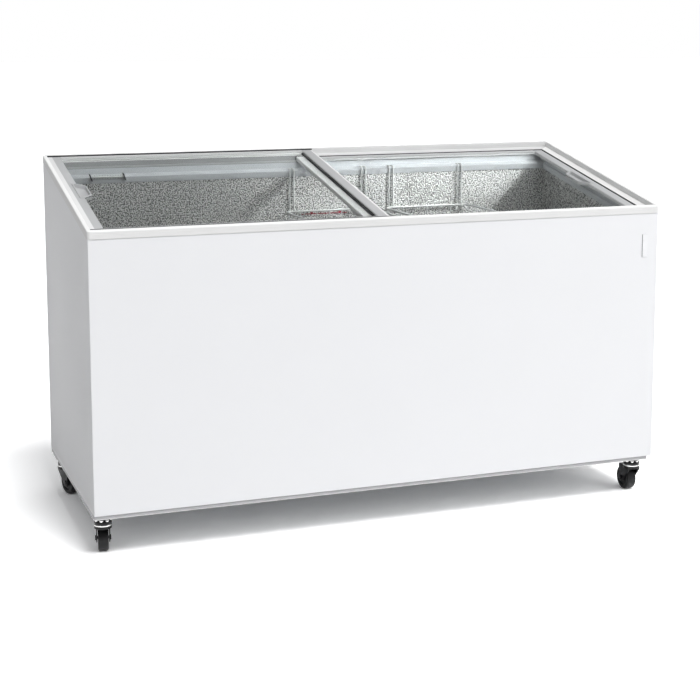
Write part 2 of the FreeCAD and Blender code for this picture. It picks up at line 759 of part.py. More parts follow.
def build_throat():
    """Throat mouldings between the top frame and the tank; the end ones fit between the long ones."""
    back = "(dims.lower_track_inset - dims.throat_wall)"
    face = "dims.lower_track_inset"
    band_end = "(dims.wall_end + dims.throat_band_gauge)"
    long_sides = []
    for name, side in (("throat_front", front_side), ("throat_rear", rear_side)):
        depths = ((back, face), (back, throat_face), ("dims.wall_long", throat_face))
        wall_y, leg_y, band_y = spans_from(side, depths)
        whole_x = inset_x(back)
        long_sides.append(throat_side(name, (whole_x, wall_y), (whole_x, leg_y),
                                      (inset_x("dims.wall_end"), band_y)))
    keep(group("throat_long_mouldings", *long_sides))
    end_sides = []
    for name, side in (("throat_left", left_side), ("throat_right", right_side)):
        depths = ((back, face), (back, band_end), ("dims.wall_end", band_end))
        wall_x, leg_x, band_x = spans_from(side, depths)
        leg_y = inset_y(throat_face)
        end_sides.append(throat_side(name, (wall_x, inset_y(face)), (leg_x, leg_y), (band_x, leg_y)))
    keep(group("throat_end_mouldings", *end_sides))


# ---------------------------------------------------------------- lids

def build_lid(prefix, x_span, inset, top_drop, grip_at_left, widths):
    """One sliding lid: glass, front and rear bars, two end strips and a cup grip."""
    low, high = x_span
    left_width, right_width = widths
    bottom = deck(f"({top_drop} + dims.lid_thickness)")
    top = deck(top_drop)
    near = (f"({front_side} + {inset})", f"({front_side} + {inset} + dims.lid_bar_width)")
    far = (f"({rear_side} - {inset} - dims.lid_bar_width)", f"({rear_side} - {inset})")
    glass_x = (f"({low} + {left_width})", f"({high} - {right_width})")
    glass_y = (near[1], far[0])
    front_bar = slab(f"{prefix}_front_bar", glass_x, near, bottom, top)
    rear_bar = slab(f"{prefix}_rear_bar", glass_x, far, bottom, top)
    keep(group(f"{prefix}_bars", front_bar, rear_bar))

    root = glass_x[0] if grip_at_left else glass_x[1]
    sign = "+" if grip_at_left else "-"
    over = deck(f"({top_drop} - dims.lid_thickness)")
    under = deck(f"({top_drop} + 2 * dims.lid_thickness)")
    cup_top = deck(f"({top_drop} - dims.grip_proud)")
    shell = grip_prism(f"{prefix}_grip_shell", root, sign, "0", bottom, cup_top)
    notch = grip_prism(f"{prefix}_grip_notch", root, sign, "dims.wire_gap", under, over)
    hollow = grip_prism(f"{prefix}_grip_hollow", root, sign, "(-dims.grip_wall)",
                        deck(f"({top_drop} + dims.lid_thickness - dims.grip_wall)"), over)
    keep(cut(f"{prefix}_grip", shell, hollow))

    sheet_top = f"({top_drop} + dims.glass_drop)"
    glass = slab(f"{prefix}_glass_blank", glass_x, glass_y,
                 deck(f"({sheet_top} + dims.glass_thickness)"), deck(sheet_top))
    keep(cut(f"{prefix}_glass", glass, notch))
    whole_y = (near[0], far[1])
    left = slab(f"{prefix}_left_blank", (low, glass_x[0]), whole_y, bottom, top)
    right = slab(f"{prefix}_right_blank", (glass_x[1], high), whole_y, bottom, top)
    if grip_at_left:
        left = cut(f"{prefix}_left_strip", left, notch)
    else:
        right = cut(f"{prefix}_right_strip", right, notch)
    keep(group(f"{prefix}_end_strips", left, right))


def grip_prism(name, root, sign, spread, bottom, top):
    """Upright elongated hexagon: long where it meets the end strip, short at its inner edge."""
    base = f"({root} {'-' if sign == '+' else '+'} (dims.grip_overlap + {spread}))"
    tip = f"({root} {sign} (dims.grip_reach + {spread}))"
    half = f"(dims.grip_length / 2 + {spread})"
    flat = f"(dims.grip_length / 2 - dims.grip_taper + {spread})"
    full = (base, tip) if sign == "+" else (tip, base)
    stub = f"({base} {sign} (dims.grip_overlap + 2 * {spread}) / 2)"
    thin = (base, stub) if sign == "+" else (stub, base)
    middle = slab(f"{name}_middle", full, (f"(-{flat})", flat), bottom, top)
    near = slab(f"{name}_near", thin, (f"(-{half})", f"(-{flat})"), bottom, top, rear_x_span=full)
    far = slab(f"{name}_far", full, (flat, half), bottom, top, rear_x_span=thin)
    return fuse(name, near, middle, far)


def build_upper_seals(x_span):
    """Brush seals that ride on the upper lid: at its front and rear edges, and under its mullion."""
    low, high = x_span
    lid_bottom = f"({upper_lid_drop} + dims.lid_thickness)"
    lip_side = "(dims.lip_width + dims.track_gap)"
    near = (f"({front_side} + {lip_side})", f"({front_side} + {upper_lid_inset})")
    far = (f"({rear_side} - {upper_lid_inset})", f"({rear_side} - {lip_side})")
    bottom = deck(lid_bottom)
    top = deck("dims.track_gap")
    mullion = f"({high} - dims.mullion_strip_width)"
    glass_y = inset_y(f"({upper_lid_inset} + dims.lid_bar_width)")
    glass_bottom = deck(f"({upper_lid_drop} + dims.glass_drop + dims.glass_thickness)")
    keep(group("upper_lid_seals", slab("upper_seal_front", (low, high), near, bottom, top),
               slab("upper_seal_rear", (low, high), far, bottom, top),
               slab("mullion_seal", (f"({mullion} - dims.mullion_seal_width)", mullion), glass_y,
                    bottom, glass_bottom)))


def build_lower_seals(x_span):
    """Brush seals that ride on the lower lid, up to the level of the upper track: front, rear and right."""
    low, high = x_span
    wall_side = "(dims.upper_track_inset + dims.track_gap)"
    near = (f"({front_side} + {wall_side})", f"({front_side} + {lower_lid_inset})")
    far = (f"({rear_side} - {lower_lid_inset})", f"({rear_side} - {wall_side})")
    right = (high, f"({right_side} - {wall_side})")
    bottom = deck(f"({lower_lid_drop} + dims.lid_thickness)")
    top = deck("dims.upper_track_drop")
    keep(group("lower_lid_seals", slab("lower_seal_front", (low, high), near, bottom, top),
               slab("lower_seal_rear", (low, high), far, bottom, top),
               slab("lower_seal_right", right, inset_y(wall_side), bottom, top)))


def build_lids():
    """The upper lid rests on the left and the lower lid on the right."""
    upper_x = (f"({left_side} + dims.lip_width + dims.lid_gap)", "dims.upper_lid_end")
    build_lid("upper_lid", upper_x, upper_lid_inset, upper_lid_drop, True,
              ("dims.outer_strip_width", "dims.mullion_strip_width"))
    build_upper_seals(upper_x)
    lower_x = ("(dims.upper_lid_end - dims.lid_overlap)", f"({right_side} - {lower_lid_inset})")
    build_lid("lower_lid", lower_x, lower_lid_inset, lower_lid_drop, False,
              ("dims.lower_strip_width", "dims.lower_strip_width"))
    build_lower_seals(lower_x)


# ---------------------------------------------------------------- baskets

def build_basket(name, centre):
    """Welded wire basket that hangs on the front and rear ledges of the throat."""
    rim = "(dims.rim_wire / 2)"
    wire = "(dims.mesh_wire / 2)"
    hook = "(dims.hanger_wire / 2)"
    left, right = around(centre, "dims.basket_length")
    near, far = inset_y(f"({throat_face} + dims.basket_side_gap)")
    top = f"(dims.front_height - dims.basket_rim_drop - {rim})"
    low = f"({top} - dims.basket_height + dims.rim_wire)"
    wires = []
    for number, height in enumerate((top, f"(({top} + {low}) / 2)", low)):
        for side, y in (("near", near), ("far", far)):
            wires.append(rod(f"{name}_band_{number}_{side}", (left, y, height), "x",
                             "dims.basket_length", rim))
        for side, x in (("left", left), ("right", right)):
            inward = f"({x} {'+' if side == 'left' else '-'} {rim})"
            wires.append(rod(f"{name}_band_{number}_{side}", (inward, f"({near} + {rim})", height), "y",
                             f"{far} - {near} - dims.rim_wire", rim))
    inside = f"({rim} + {wire})"
    cross_low = f"({low} + {inside})"
    along_low = f"({cross_low} + dims.mesh_wire)"
    post_start = f"({left} + dims.rim_wire + dims.post_margin)"
    post_run = "(dims.basket_length - 2 * dims.rim_wire - 2 * dims.post_margin)"
    for number in range(BASKET_POSTS):
        x = f"({post_start} + {number} * {post_run} / {BASKET_POSTS - 1})"
        for side, y, sign in (("near", near, "+"), ("far", far, "-")):
            start = (x, f"({y} {sign} {inside})", f"({cross_low} + {wire})")
            wires.append(rod(f"{name}_post_{number}_{side}", start, "z",
                             f"{top} - {cross_low} - {wire}", wire))
        wires.append(rod(f"{name}_floor_{number}", (x, near, cross_low), "y", f"{far} - {near}", wire))
    stave_start = f"({near} + dims.rim_wire + dims.stave_margin)"
    stave_run = f"({far} - {near} - 2 * dims.rim_wire - 2 * dims.stave_margin)"
    for number in range(BASKET_STAVES):
        y = f"({stave_start} + {number} * {stave_run} / {BASKET_STAVES - 1})"
        for side, x, sign in (("left", left, "+"), ("right", right, "-")):
            start = (f"({x} {sign} (dims.rim_wire + {wire}))", y, f"({along_low} + {wire})")
            wires.append(rod(f"{name}_stave_{number}_{side}", start, "z",
                             f"{top} - {along_low} - {wire}", wire))
        wires.append(rod(f"{name}_base_{number}", (f"({left} + dims.rim_wire)", y, along_low), "x",
                         "dims.basket_length - 2 * dims.rim_wire", wire))
    spots = [f"({centre} + {side} * dims.hanger_spacing / 2)" for side in (-1, 1)]
    for number, x in enumerate(spots):
        for leg, shift in enumerate((-1, 1)):
            leg_x = f"({x} + {shift} * (dims.hanger_width + dims.hanger_wire) / 2)"
            wires += rear_hanger(f"{name}_{number}_{leg}", leg_x, far, top)
            wires += front_hanger(f"{name}_{number}_{leg}", leg_x, near, top)
    keep(group(name, *wires))


def rear_hanger(name, leg_x, far, top):
    """One leg of a rear hanger: out from the rim, up the throat wall and over its ledge."""
    rim = "(dims.rim_wire / 2)"
    hook = "(dims.hanger_wire / 2)"
    face = f"({rear_side} - {throat_face} - dims.wire_gap - {hook})"
    hook_end = f"({rear_side} - {throat_face} + dims.hook_reach)"
    ledge = f"({deck('dims.throat_ledge_drop')(hook_end)} + dims.wire_gap + {hook})"
    leg_low = f"({top} - {rim})"
    bridge_start = f"({far} + {rim})"
    return [
        rod(f"{name}_hanger", (leg_x, face, leg_low), "z", f"{ledge} - {leg_low} - {hook}", hook),
        rod(f"{name}_bridge", (leg_x, bridge_start, f"({leg_low} + {hook})"), "y",
            f"{face} - {bridge_start} - {hook}", hook),
        rod(f"{name}_hook", (leg_x, f"({face} - {hook})", ledge), "y", f"{hook_end} - {face} + {hook}",
            hook),
    ]


def front_hanger(name, leg_x, near, top):
    """One leg of a front hanger: up from the rim and forward onto the ledge."""
    rim = "(dims.rim_wire / 2)"
    hook = "(dims.hanger_wire / 2)"
    face = f"({front_side} + {throat_face})"
    rest = f"({deck('dims.throat_ledge_drop')(face)} + dims.wire_gap + {hook})"
    start = f"({face} - dims.hook_reach)"
    return [
        rod(f"{name}_arm", (leg_x, start, rest), "y", f"{near} - {start} + {rim}", hook),
        rod(f"{name}_drop", (leg_x, f"({near} + {rim} + {hook})", top), "z",
            f"{rest} - {top} + {hook}", hook),
    ]


# ---------------------------------------------------------------- small cabinet parts

def build_drain():
    """Drain tube through the cabinet floor, and the plug that closes it."""
    tube = rod("drain_pipe", (*drain_spot, castor_height), "z", f"{liner_floor} - {castor_height}",
               "dims.drain_outer")
    flange = rod("drain_flange", (*drain_spot, liner_floor), "z", "dims.drain_flange_gauge",
                 "dims.drain_flange_radius")
    spigot_low = f"({castor_height} - dims.spigot_length)"
    spigot = rod("drain_spigot", (*drain_spot, spigot_low), "z", "dims.spigot_length",
                 "dims.spigot_radius")
    seat = f"({liner_floor} + dims.drain_flange_gauge)"
    bore = rod("drain_hole", (*drain_spot, f"({spigot_low} - {past})"), "z",
               f"{seat} - {spigot_low} + 2 * {past}", "dims.drain_inner")
    keep(cut("drain_tube", fuse("drain_blank", tube, flange, spigot), bore))
    stem = rod("plug_stem", (*drain_spot, f"({seat} - dims.plug_stem)"), "z",
               f"dims.plug_stem + {past}", "dims.drain_inner - dims.plug_gap")
    head = rod("plug_head", (*drain_spot, seat), "z", "dims.plug_gauge", "dims.plug_radius")
    tab = block("plug_tab", around(drain_spot[0], "dims.plug_tab_length"),
                around(drain_spot[1], "dims.plug_gauge"), (seat, f"({seat} + dims.plug_tab_height)"))
    keep(fuse("drain_plug", stem, head, tab))


def build_controls():
    """Control plate with its lamps, and the thermostat with its dial behind the right cover."""
    skin = f"({right_side} - {panel_inset})"
    inner_skin = f"({right_side} - {foam_inset})"
    control_y, control_z = control_spot
    plate = block("control_blank", (skin, f"({skin} + dims.plate_gauge)"),
                  (f"({control_y} - dims.control_front)", f"({control_y} + dims.control_rear)"),
                  around(control_z, "dims.control_height"))
    window = rod("control_window", (f"({skin} - {past})", *control_spot), "x",
                 f"dims.plate_gauge + 2 * {past}", "dims.dial_radius + dims.dial_gap")
    keep(cut("control_plate", plate, window))
    lamps = []
    for number in range(PILOT_LAMPS):
        y = f"({control_y} - dims.lamp_offset + {number} * dims.lamp_pitch)"
        lamps.append(rod(f"lamp_{number}", (f"({skin} + dims.plate_gauge)", y, control_z), "x",
                         "dims.lamp_proud", "dims.lamp_radius"))
    keep(group("pilot_lamps", *lamps))

    box_face = f"({inner_skin} - dims.thermostat_gap)"
    housing = block("thermostat_box", (f"({box_face} - dims.thermostat_depth)", box_face),
                    around(control_y, "dims.thermostat_width"), around(control_z, "dims.thermostat_width"))
    posts = []
    for number, side in enumerate((-1, 1)):
        spot = (f"({box_face} - {past})", f"({control_y} + {side} * dims.thermostat_post_offset)",
                f"({control_z} + {side} * dims.thermostat_post_offset)")
        posts.append(rod(f"thermostat_post_{number}", spot, "x", f"dims.thermostat_gap + {past}",
                         "dims.thermostat_post"))
    socket = rod("thermostat_bore", (f"({box_face} - dims.thermostat_bore_depth)", *control_spot), "x",
                 f"dims.thermostat_bore_depth + {past}", "dims.shaft_radius + dims.shaft_gap")
    keep(cut("thermostat", fuse("thermostat_blank", housing, *posts), socket))
    disc = rod("dial_disc", (f"({inner_skin} - dims.dial_depth)", *control_spot), "x",
               "dims.dial_depth + dims.sheet_gauge + dims.plate_gauge", "dims.dial_radius")
    shaft_end = f"({box_face} - dims.dial_engagement)"
    shaft = rod("dial_shaft", (shaft_end, *control_spot), "x",
                f"{inner_skin} - dims.dial_depth + {past} - {shaft_end}", "dims.shaft_radius")
    dial_face = f"({skin} + dims.plate_gauge)"
    slot = block("dial_slot", (f"({dial_face} - dims.dial_slot_depth)", f"({dial_face} + {past})"),
                 around(control_y, "dims.dial_slot_width"), around(control_z, "dims.dial_slot_length"))
    keep(cut("thermostat_dial", fuse("dial_blank", disc, shaft), slot))


def build_gland():
    """Cable gland through the rear panel."""
    outside = f"({rear_side} - {panel_inset})"
    inner_end = f"({outside} - dims.gland_length)"
    body = rod("gland_body", (inlet_x, inner_end, inlet_z), "y", "dims.gland_length",
               "dims.inlet_radius - dims.wire_gap")
    flange = rod("gland_flange", (inlet_x, outside, inlet_z), "y", "dims.plate_gauge",
                 "dims.gland_flange_radius")
    nut = rod("gland_nut", (inlet_x, f"({outside} - dims.sheet_gauge - dims.gland_nut_gauge)", inlet_z),
              "y", "dims.gland_nut_gauge", "dims.gland_nut_radius")
    hole = rod("gland_hole", (inlet_x, f"({inner_end} - {past})", inlet_z), "y",
               f"dims.gland_length + dims.plate_gauge + 2 * {past}", "dims.gland_bore")
    keep(cut("cable_gland", fuse("gland_blank", body, flange, nut), hole))


def build_details():
    """Badge plate on the front, and the thermometer on the rear band of the throat."""
    face = f"({front_side} + {panel_inset})"
    keep(block("badge_plate", around(f"({right_side} - dims.badge_inset)", "dims.badge_width"),
               (f"({face} - dims.plate_gauge)", face),
               around("(dims.front_height - dims.badge_drop)", "dims.badge_length")))

    band_face = f"({rear_side} - {throat_face})"
    low = f"({left_side} + dims.thermometer_inset)"
    high = f"({low} + dims.thermometer_length)"
    bottom_drop = "(dims.thermometer_drop + dims.thermometer_height)"
    body = slab("thermometer_body", (low, high), (f"({band_face} - dims.thermometer_depth)", band_face),
                deck(bottom_drop), deck("dims.thermometer_drop"))
    clips = []
    ends = ((low, f"({low} + dims.thermometer_clip)"), (f"({high} - dims.thermometer_clip)", high))
    for number, span in enumerate(ends):
        clips.append(slab(f"thermometer_clip_{number}", span,
                          (f"({band_face} - dims.thermometer_clip_depth)", band_face),
                          deck(f"({bottom_drop} + dims.thermometer_clip_lap / 2)"),
                          deck("(dims.thermometer_drop - dims.thermometer_clip_lap)")))
    keep(fuse("thermometer", body, *clips))


# ---------------------------------------------------------------- castors

def build_castor(name, swivel, swing):
    """Swivelling fork with its axle bolt, and the wheel that turns on the bolt."""
    plate_low = "(2 * dims.wheel_radius + dims.wheel_top_gap)"
    plate_top = f"({plate_low} + dims.fork_plate)"
    disc = rod(f"{name}_disc", ("0", "0", plate_low), "z", "dims.fork_plate", "dims.fork_disc_radius")
    pin = rod(f"{name}_pin", ("0", "0", plate_low), "z",
              "dims.fork_plate + dims.head_gap + dims.head_height - dims.pin_end_gap", "dims.pin_radius")
    half = "(dims.wheel_width / 2 + dims.fork_gap + dims.cheek_thickness)"
    nose = "(-dims.fork_nose)"
    tail = "(dims.castor_trail + dims.fork_tail)"
    arch = block(f"{name}_arch", (f"(-{half})", half), (nose, tail), (plate_low, plate_top))
    cheeks = []
    for number, side in enumerate(("-", "")):
        points = (
            (nose, plate_top),
            (nose, f"({plate_low} - dims.cheek_thickness)"),
            ("(dims.castor_trail - dims.fork_eye)", "(dims.wheel_radius - dims.axle_radius)"),
            ("(dims.castor_trail - dims.fork_eye / 2)", "(dims.wheel_radius - dims.fork_eye)"),
            ("(dims.castor_trail + dims.fork_eye / 2)", "(dims.wheel_radius - dims.fork_eye)"),
            ("(dims.castor_trail + dims.fork_eye)", "(dims.wheel_radius - dims.axle_radius)"),
            (tail, plate_top),
        )
        cheek = outline_pad(f"{name}_cheek_{number}", points, "dims.cheek_thickness")
        cheek.setExpression("Placement.Base.x", f"{side}({half} - dims.cheek_thickness / 2)")
        cheeks.append(cheek)
    axle_start = (f"(-{half} - {past})", "dims.castor_trail", "dims.wheel_radius")
    hole = rod(f"{name}_axle_hole", axle_start, "x", f"2 * ({half} + {past})",
               "dims.axle_radius + dims.running_gap")
    fork = cut(f"{name}_fork_solid", fuse(f"{name}_fork_blank", disc, pin, arch, *cheeks), hole)
    shank = rod(f"{name}_shank", (f"(-{half})", "dims.castor_trail", "dims.wheel_radius"), "x",
                f"2 * {half}", "dims.axle_radius")
    heads = []
    for number, start in enumerate((f"(-{half} - dims.axle_head_height)", half)):
        heads.append(rod(f"{name}_bolt_head_{number}", (start, "dims.castor_trail", "dims.wheel_radius"),
                         "x", "dims.axle_head_height", "dims.axle_head_radius"))
    axle = fuse(f"{name}_axle", shank, *heads)
    wheel_start = ("(-dims.wheel_width / 2)", "dims.castor_trail", "dims.wheel_radius")
    tyre = rod(f"{name}_tyre", wheel_start, "x", "dims.wheel_width", "dims.wheel_radius")
    rounded = document.addObject("Part::Fillet", f"{name}_tyre_rounded")
    rounded.Base = tyre
    shoulder = sheet_value("dims.tyre_round")
    rounded.Edges = [(2, shoulder, shoulder), (3, shoulder, shoulder)]
    bore_start = (f"(-dims.wheel_width / 2 - {past})", "dims.castor_trail", "dims.wheel_radius")
    bore = rod(f"{name}_wheel_bore", bore_start, "x", f"dims.wheel_width + 2 * {past}",
               "dims.axle_radius + dims.running_gap")
    wheel = cut(f"{name}_wheel", rounded, bore)
    for piece in (group(f"{name}_fork", fork, axle), wheel):
        piece.Placement = FreeCAD.Placement(FreeCAD.Vector(), FreeCAD.Rotation(FreeCAD.Vector(0, 0, 1), 1))
        place(piece, {
            "Placement.Base.x": swivel[0],
            "Placement.Base.y": swivel[1],
            "Placement.Rotation.Angle": swing,
        })
        keep(piece)


def build_castors():
    """Four castors with their top plates, swivel heads and bolts."""
    left = f"({left_side} + dims.castor_inset_x)"
    right = f"({right_side} - dims.castor_inset_x)"
    front = f"({front_side} + dims.castor_inset_y)"
    rear = f"({rear_side} - dims.castor_inset_y)"
    corners = (
        ("castor_front_left", (left, front), "dims.swing_front_left"),
        ("castor_front_right", (right, front), "dims.swing_front_right"),
        ("castor_rear_left", (left, rear), "dims.swing_rear_left"),
        ("castor_rear_right", (right, rear), "dims.swing_rear_right"),
    )
    plates, heads, bolts = [], [], []
    plate_low = f"({castor_height} - dims.plate_thickness)"
    head_low = f"({plate_low} - dims.head_height)"
    for name, (x, y), swing in corners:
        plates.append(block(f"{name}_plate", around(x, "dims.plate_size"), around(y, "dims.plate_size"),
                            (plate_low, castor_height)))
        cup = rod(f"{name}_cup", (x, y, head_low), "z", "dims.head_height", "dims.head_radius")
        bore = rod(f"{name}_pin_bore", (x, y, f"({head_low} - {past})"), "z", f"dims.head_height + {past}",
                   "dims.pin_radius + dims.running_gap")
        heads.append(cut(f"{name}_head", cup, bore))
        for across in (-1, 1):
            for along in (-1, 1):
                spot = (f"({x} + {across} * dims.plate_bolt_spacing / 2)",
                        f"({y} + {along} * dims.plate_bolt_spacing / 2)",
                        f"({plate_low} - dims.plate_bolt_height)")
                bolts.append(rod(f"{name}_bolt_{across + 1}{along + 1}", spot, "z",
                                 "dims.plate_bolt_height", "dims.plate_bolt_radius"))
        build_castor(name, (x, y), swing)
    keep(group("castor_plates", *plates))
    keep(group("castor_heads", *heads))
    keep(group("castor_bolts", *bolts))


build_panels()
build_base()
build_foam()
build_liner()
build_bay()
build_evaporator()
build_top_frame()
build_throat()
build_lids()
build_basket("left_basket", left_basket_centre)
build_basket("right_basket", right_basket_centre)
build_drain()
build_controls()
build_gland()
build_details()
build_castors()
document.recompute()

for thing in document.Objects:
    if "Invalid" in thing.State or "Error" in thing.State:
        raise RuntimeError(f"{thing.Label} failed: {thing.State}")
for thing in parts:
    if thing.Shape.isNull() or not thing.Shape.isValid() or not thing.Shape.Solids:
        raise RuntimeError(f"{thing.Label} has no valid shape")

os.makedirs("parts", exist_ok=True)
for thing in parts:
    thing.Shape.exportStep(f"parts/{thing.Label}.step")
print(f"{len(parts)} sub-parts written")
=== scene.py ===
import json
import math

import bmesh
import bpy
from mathutils import Matrix
from mathutils import Vector


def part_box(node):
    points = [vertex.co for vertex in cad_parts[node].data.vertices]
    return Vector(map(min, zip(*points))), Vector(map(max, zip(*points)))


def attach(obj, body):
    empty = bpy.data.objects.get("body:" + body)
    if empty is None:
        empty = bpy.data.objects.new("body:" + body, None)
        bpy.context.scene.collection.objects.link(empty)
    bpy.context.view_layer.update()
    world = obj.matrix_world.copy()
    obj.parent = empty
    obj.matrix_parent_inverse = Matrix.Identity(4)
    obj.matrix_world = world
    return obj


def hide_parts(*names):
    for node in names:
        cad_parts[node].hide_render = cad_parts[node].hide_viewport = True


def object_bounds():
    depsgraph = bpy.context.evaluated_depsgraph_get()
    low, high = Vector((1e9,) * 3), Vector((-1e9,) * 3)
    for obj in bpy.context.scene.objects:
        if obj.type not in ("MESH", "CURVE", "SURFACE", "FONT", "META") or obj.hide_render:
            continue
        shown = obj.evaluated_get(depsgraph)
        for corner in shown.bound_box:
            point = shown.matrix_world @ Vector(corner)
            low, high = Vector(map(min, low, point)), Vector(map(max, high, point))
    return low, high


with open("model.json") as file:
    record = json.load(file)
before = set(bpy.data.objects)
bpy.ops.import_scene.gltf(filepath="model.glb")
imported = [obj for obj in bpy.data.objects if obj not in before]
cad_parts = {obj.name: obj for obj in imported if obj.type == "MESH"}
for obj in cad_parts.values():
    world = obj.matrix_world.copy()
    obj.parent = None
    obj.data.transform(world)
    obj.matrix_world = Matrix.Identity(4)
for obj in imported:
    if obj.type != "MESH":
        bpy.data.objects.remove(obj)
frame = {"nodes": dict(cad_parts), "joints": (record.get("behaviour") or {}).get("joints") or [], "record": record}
cad_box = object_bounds()

MM = 0.001

# ------------------------------------------------------------------ places read from the frame

FRONT_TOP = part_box("front_panel")[1]
REAR_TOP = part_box("rear_panel")[1]
SLOPE = (REAR_TOP[2] - FRONT_TOP[2]) / (REAR_TOP[1] - FRONT_TOP[1])
TOP_AT_REAR = Vector(cad_box[1]).z
HALF_LENGTH = (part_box("top_frame_front")[1][0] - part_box("top_frame_front")[0][0]) / 2
HALF_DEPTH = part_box("top_frame_rear")[1][1]
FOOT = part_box("front_panel")[0][2]
PANEL = HALF_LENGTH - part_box("front_panel")[1][0]
SHEET = 1 * MM


def deck_height(y, drop=0.0):
    """Height of the slanted top plane at y, less a drop."""
    return TOP_AT_REAR + (y - HALF_DEPTH) * SLOPE - drop


SKIRT = deck_height(REAR_TOP[1]) - REAR_TOP[2]


# ------------------------------------------------------------------ materials

MATERIALS = {}


def new_material(name):
    """Add a material with its Principled shader to the table."""
    material = bpy.data.materials.new(name)
    material.use_nodes = True
    MATERIALS[name] = material
    return material.node_tree.nodes, material.node_tree.links


def noise(nodes, links, scale, detail=3.0, roughness=0.55, stretch=(1, 1, 1)):
    """Noise in the object's own metres, stretched if asked."""
    coordinates = nodes.new("ShaderNodeTexCoord")
    mapping = nodes.new("ShaderNodeMapping")
    mapping.inputs["Scale"].default_value = stretch
    texture = nodes.new("ShaderNodeTexNoise")
    texture.inputs["Scale"].default_value = scale
    texture.inputs["Detail"].default_value = detail
    texture.inputs["Roughness"].default_value = roughness
    links.new(coordinates.outputs["Object"], mapping.inputs["Vector"])
    links.new(mapping.outputs["Vector"], texture.inputs["Vector"])
    return texture.outputs["Fac"]


def mapped(nodes, links, value, low, high, start=0.3, stop=0.7):
    """A value brought from one range to another."""
    node = nodes.new("ShaderNodeMapRange")
    node.inputs["From Min"].default_value = start
    node.inputs["From Max"].default_value = stop
    node.inputs["To Min"].default_value = low
    node.inputs["To Max"].default_value = high
    links.new(value, node.inputs["Value"])
    return node.outputs["Result"]


def tinted(nodes, links, value, first, second):
    """A blend of two colours by a value."""
    node = nodes.new("ShaderNodeMix")
    node.data_type = "RGBA"
    node.inputs["A"].default_value = (*first, 1)
    node.inputs["B"].default_value = (*second, 1)
    links.new(value, node.inputs["Factor"])
    return node.outputs["Result"]


def relief(nodes, links, value, depth):
    """A bump of a depth in metres."""
    node = nodes.new("ShaderNodeBump")
    node.inputs["Distance"].default_value = depth
    node.inputs["Strength"].default_value = 1.0
    links.new(value, node.inputs["Height"])
    return node.outputs["Normal"]


def finish_of(name, colour, rough, spread=0.06, metal=0.0, coat=0.0, patch=9.0, grain=900.0,
              depth=0.02, stretch=(1, 1, 1), specular=0.5):
    """A surface with slow colour drift, uneven gloss and a fine grain. depth is in millimetres."""
    nodes, links = new_material(name)
    shader = nodes["Principled BSDF"]
    shader.inputs["Metallic"].default_value = metal
    shader.inputs["Coat Weight"].default_value = coat
    shader.inputs["Coat Roughness"].default_value = 0.12
    shader.inputs["Specular IOR Level"].default_value = specular
    drift = noise(nodes, links, patch, detail=4.0)
    darker = tuple(channel * (1 - spread) for channel in colour)
    amount = mapped(nodes, links, drift, 0.0, 1.0)
    links.new(tinted(nodes, links, amount, darker, colour), shader.inputs["Base Color"])
    fine = noise(nodes, links, grain, detail=2.0, stretch=stretch)
    uneven = mapped(nodes, links, drift, rough * 0.88, min(rough * 1.15, 1.0))
    links.new(uneven, shader.inputs["Roughness"])
    links.new(relief(nodes, links, fine, depth * MM), shader.inputs["Normal"])


def stucco():
    """Pebble-embossed aluminium sheet. Its base colour follows the bump, dark in the hollows and pale on the
    crests: partly grain, partly painted shade and painted glint.
    """
    nodes, links = new_material("stucco_aluminium")
    shader = nodes["Principled BSDF"]
    shader.inputs["Metallic"].default_value = 0.85
    pebble = noise(nodes, links, 270.0, detail=1.0, roughness=0.5)
    flat = mapped(nodes, links, pebble, 0.0, 1.0, 0.38, 0.62)
    # Base colour from the same height as the bump: painted shade in the hollows, painted glint on the crests.
    pebble_shade_and_glint = tinted(nodes, links, flat, (0.13, 0.13, 0.13), (0.80, 0.80, 0.79))
    links.new(pebble_shade_and_glint, shader.inputs["Base Color"])
    drift = noise(nodes, links, 14.0)
    links.new(mapped(nodes, links, drift, 0.30, 0.40), shader.inputs["Roughness"])
    links.new(relief(nodes, links, flat, 0.45 * MM), shader.inputs["Normal"])


def glass():
    """Clear tempered glass with a slight green cast, which lets light through to what is below."""
    nodes, links = new_material("lid_glass")
    shader = nodes["Principled BSDF"]
    shader.inputs["Base Color"].default_value = (0.975, 0.99, 0.985, 1)
    shader.inputs["Transmission Weight"].default_value = 1.0
    shader.inputs["IOR"].default_value = 1.13
    film = noise(nodes, links, 22.0)
    links.new(mapped(nodes, links, film, 0.0, 0.02), shader.inputs["Roughness"])
    clear = nodes.new("ShaderNodeBsdfTransparent")
    clear.inputs["Color"].default_value = (0.955, 0.97, 0.965, 1)
    rays = nodes.new("ShaderNodeLightPath")
    mix = nodes.new("ShaderNodeMixShader")
    links.new(rays.outputs["Is Shadow Ray"], mix.inputs["Fac"])
    links.new(shader.outputs["BSDF"], mix.inputs[1])
    links.new(clear.outputs["BSDF"], mix.inputs[2])
    links.new(mix.outputs["Shader"], nodes["Material Output"].inputs["Surface"])


finish_of("white_steel", (0.815, 0.82, 0.835), 0.5, 0.02, patch=2.0, grain=420, depth=0.015,
          specular=0.3)
finish_of("zinc_steel", (0.50, 0.51, 0.52), 0.30, 0.25, metal=1.0, patch=55, grain=1500,
          depth=0.01)
finish_of("bright_zinc", (0.78, 0.78, 0.77), 0.2, 0.12, metal=1.0, patch=90, grain=1500,
          depth=0.008)
finish_of("base_rail", (0.42, 0.42, 0.43), 0.45, 0.10, metal=0.3, patch=12, grain=700, depth=0.02)
finish_of("foam", (0.80, 0.68, 0.42), 0.9, 0.15, patch=40, grain=420, depth=0.3)
stucco()
finish_of("frame_white", (0.76, 0.76, 0.755), 0.5, 0.04, patch=5, grain=1100, depth=0.012,
          specular=0.2)
